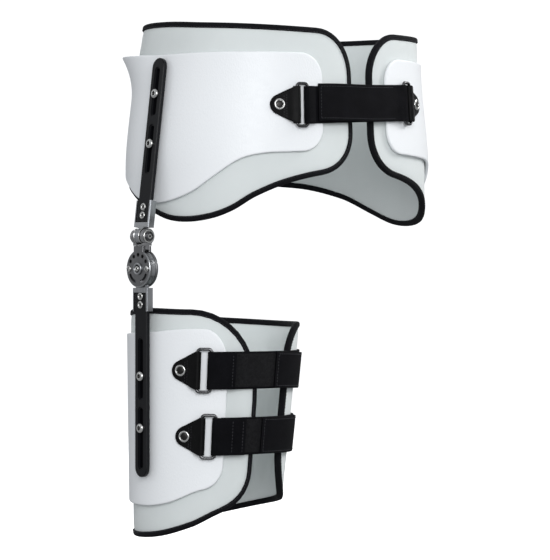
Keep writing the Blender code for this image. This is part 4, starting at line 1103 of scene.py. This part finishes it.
SCREW = (("_head", SLOT_SCREW), ("_socket_shade", SLOT_SCREW_SHADE_CORE))
BRACKET_RIVET = (("_eyelet", EYELET), ("_core", EYELET_SHADE_CORE))
BAR_FASTENERS = (
    ("pelvic_slot_screw_", SCREW, "pelvic_girdle", UPPER, {"upper": up_bar(188), "lower": up_bar(134)}),
    ("thigh_slot_screw_", SCREW, "thigh_cuff", LOWER, {"upper": -115.0, "lower": -170.6}),
    ("upper_bracket_rivet_", BRACKET_RIVET, "upper_upright", UPPER, {"1": up_bar(57), "2": up_bar(66)}),
    ("lower_bracket_rivet_", BRACKET_RIVET, "lower_upright", LOWER, {"1": -29.5, "2": -38.5}),
)


def add_bar_fasteners():
    """Screws and eyelets on the bars' outer faces, each with a dark core of painted shade in its hollow
    middle.
    """
    for label, (outside, core), body, holder, places in BAR_FASTENERS:
        for end, z in places.items():
            node = label + end
            spot = aim(holder @ Vector((-BAR_T / 2, 0, z)), holder.to_3x3() @ Vector((-1, 0, 0)))
            revolved(node + outside[0], outside[1], spot, body, "nickel", replaced=[node])
            revolved(node + core[0], core[1], spot, body, "nickel", "socket")


def block(build, holder, low, high):
    """A plain block between two corners of a holder's frame."""
    corners = [[holder @ Vector((x, y, z)) for y, z in
                ((low[1], low[2]), (high[1], low[2]), (high[1], high[2]), (low[1], high[2]))]
               for x in (low[0], high[0])]
    rows = [[build.vert(p) for p in row] for row in corners]
    build.grid(rows, (0, high[0] - low[0]), (0, 8, 40, 48, 80), close_v=True, caps=True)


def add_slot_strips():
    """A thin dark strip behind each bar, so that its slots read dark."""
    for name, body, holder, low, high in (
            ("upper_slot_strip", "upper_upright", UPPER, up_bar(100), up_bar(219)),
            ("lower_slot_strip", "lower_upright", LOWER, -216.0, -72.0)):
        build = Builder()
        back = BAR_T / 2 + 0.1
        block(build, holder, (back, -6.5, low), (back + 0.7, 6.5, high))
        piece(name, build.mesh(name), body, "bar", "slot_strip")


PLATE_RIM = ((18.9, 5.9), (19.0, 6.06), (19.35, 6.1), (20.0, 5.55), (20.12, 5.2), (20.12, 4.6), (19.7, 4.5))


def add_plate_rims():
    """The turned bright edges of the two plates, round their free part."""
    for name, sense in (("outer", -1), ("inner", 1)):
        build = Builder()
        rows = []
        turns = [radians(t) for t in range(118, 423, 4)]
        for turn in turns:
            rows.append([build.vert(Vector((UPRIGHT_X + sense * h, r * cos(turn), r * sin(turn))))
                         for r, h in PLATE_RIM])
        across = lengths([Vector((r, h, 0)) for r, h in PLATE_RIM], closed=True)
        build.grid(rows, [20 * t for t in turns], across, close_v=True, caps=True)
        piece(name + "_plate_rim", build.mesh(name + "_rim"), "hinge_block", "gunmetal", "steel")


INDEX_R, INDEX_FIRST, INDEX_STEP = 15.0, 32, 29
# Painted shade: a thin dark ring round each index hole.
INDEX_HOLE_SHADE = [(1.7, 5.95), (2.15, 5.95), (2.15, 6.05), (1.7, 6.05), (1.7, 5.95)]


def add_index_hole_shade():
    """Painted shade: dark rings round the five index holes of the outer plate, so that the holes read
    larger.
    """
    build = Builder()
    for k in range(5):
        turn = radians(INDEX_FIRST + INDEX_STEP * k)
        spot = Matrix.Translation((0, INDEX_R * cos(turn), INDEX_R * sin(turn)))
        turned(build, INDEX_HOLE_SHADE, spot @ FLEXION, 24)
    piece("index_hole_painted_shade", build.mesh("index_hole_shade"), "hinge_block", "gunmetal", "socket")


def add_stop_screws():
    for name, y, turn in (("flexion_stop_screw", -15.0, 25), ("extension_stop_screw", 15.0, -35)):
        place = Matrix.Translation((0, y, 0)) @ FLEXION
        revolved(name + "_head", STOP_SCREW, place, "hinge_block", "nickel", replaced=[name])
        # Painted shade: a dark block stands for the screw head's slot.
        build = Builder()
        block(build, place @ Matrix.Rotation(radians(turn), 4, "Z"), (-2.5, -0.42, 7.3),
              (2.5, 0.42, 8.0))
        piece(name + "_slot", build.mesh(name + "_slot"), "hinge_block", "nickel", "socket")


def pivot_disc(along):
    return PIVOT @ Matrix.Translation((0, 0, along))


HUB_PIECES = (
    ("hub_head", HUB, FLEXION, "steel", None, ["hinge_hub_bolt"]),
    # Painted shade: a dark disc in the hub head's recess.
    ("hub_recess_shade", HUB_RECESS_SHADE, FLEXION, "steel", "socket", []),
    ("hub_button", HUB_BUTTON, FLEXION, "steel", "nickel", []),
    # Painted shade: a dark disc in the button's socket.
    ("hub_socket_shade", HUB_SOCKET_SHADE, FLEXION, "steel", "socket", []),
)
PIVOT_PIECES = (
    ("pivot_washer", PIVOT_WASHER, PIVOT, "nickel", None, ["abduction_bolt"]),
    ("pivot_head", PIVOT_HEAD, PIVOT, "nickel", "head", []),
    ("pivot_button", PIVOT_BUTTON, PIVOT, "nickel", None, []),
    ("pivot_shim_front", PIVOT_SHIM, pivot_disc(4.4), "steel", "nickel", []),
    # Painted shade: the gap rows are dark rings between the yoke's discs.
    ("pivot_gap_front_shade", PIVOT_GAP_SHADE, pivot_disc(5.3), "steel", "socket", []),
    ("pivot_shim_rear", PIVOT_SHIM, pivot_disc(-4.4), "steel", "nickel", []),
    ("pivot_gap_rear_shade", PIVOT_GAP_SHADE, pivot_disc(-5.3), "steel", "socket", []),
)


def add_on_hinge(rows):
    for name, profile, place, slot, look, replaced in rows:
        revolved(name, profile, place, "hinge_block", slot, look, replaced)


# ---------------------------------------------------------------- studio
LOWEST_DROP = 0.080


def add_stage():
    """A wide white bowl: its flat floor leaves room for the cuff at its lowest setting."""
    floor = cad_box[0].z - LOWEST_DROP
    flat_r, wall_r, height = 4.2, 7.0, 3.6
    profile = [(flat_r * k / 6, 0.0) for k in range(7)]
    profile += [(flat_r + (wall_r - flat_r) * sin(radians(t)),
                 height * (1 - cos(radians(t)))) for t in range(6, 91, 6)]
    build = Builder()
    turned(build, [(r / MM, (h + floor) / MM) for r, h in profile], Matrix.Identity(4), 96)
    bowl = bpy.data.objects.new("studio_bowl", build.mesh("bowl", 80))
    link(bowl)
    look = Look("studio_white", Specular_IOR_Level=0.1, Emission_Strength=0.62)
    look.shader.inputs["Emission Color"].default_value = (1, 1, 1, 1)
    paper = look.noise(3.0, 3.0)
    tint = look.colours(paper, (0.90, 0.90, 0.905), (0.93, 0.93, 0.93))
    bowl.data.materials.append(look.finish(tint, look.ramp(paper, 0.85, 0.95)))
    bowl.visible_diffuse = False
    bowl.visible_glossy = False


LIGHTS = (
    # name, azimuth and elevation in degrees, distance and size in metres, watts, colour
    ("key", 62, 32, 2.6, 1.0, 36, (1.0, 0.995, 0.985)),
    ("front_fill", -37, 15, 3.0, 1.8, 51, (0.98, 0.99, 1.0)),
    ("left_fill", -125, 20, 3.0, 1.4, 4, (0.95, 0.97, 1.0)),
    ("back_fill", 150, 35, 3.0, 1.6, 24, (1, 1, 1)),
)


def add_light(name, azimuth, elevation, distance, size, energy, colour):
    a, e = radians(azimuth), radians(elevation)
    away = Vector((sin(a) * cos(e), -cos(a) * cos(e), sin(e)))
    data = bpy.data.lights.new(name, "AREA")
    data.shape = "DISK"
    data.size = size
    data.energy = energy
    data.color = colour
    lamp = bpy.data.objects.new(name, data)
    lamp.location = away * distance
    lamp.rotation_euler = away.to_track_quat("Z", "Y").to_euler()
    lamp.visible_camera = False
    link(lamp)


def add_air():
    """Soft light from all round, brighter from above."""
    world = bpy.data.worlds.new("studio_air")
    world.use_nodes = True
    tree = world.node_tree
    place = tree.nodes.new("ShaderNodeTexCoord")
    parts = tree.nodes.new("ShaderNodeSeparateXYZ")
    level = tree.nodes.new("ShaderNodeMapRange")
    for key, value in {"From Min": -0.6, "From Max": 1.0, "To Min": 0.35, "To Max": 0.55}.items():
        level.inputs[key].default_value = value
    tree.links.new(place.outputs["Generated"], parts.inputs["Vector"])
    tree.links.new(parts.outputs["Z"], level.inputs["Value"])
    air = tree.nodes["Background"]
    air.inputs["Color"].default_value = (0.95, 0.975, 1.0, 1)
    tree.links.new(level.outputs["Result"], air.inputs["Strength"])
    bpy.context.scene.world = world


def add_camera():
    target = Vector((-0.0035, 0.0, -0.012))
    away = Vector((-0.669, -0.743, 0.0))
    data = bpy.data.cameras.new("camera")
    data.lens = 166.45
    data.sensor_width = 36.0
    camera = bpy.data.objects.new("camera", data)
    camera.location = target + away * 2.9
    camera.rotation_euler = away.to_track_quat("Z", "Y").to_euler()
    link(camera)
    bpy.context.scene.camera = camera


add_camera()
add_girdle()
add_cuff()
add_bar_fasteners()
add_slot_strips()
add_plate_rims()
add_index_hole_shade()
add_on_hinge(HUB_PIECES)
add_stop_screws()
add_on_hinge(PIVOT_PIECES)
dress_kept_nodes()
add_stage()
for light in LIGHTS:
    add_light(*light)
add_air()
bpy.context.scene.view_settings.view_transform = "Standard"
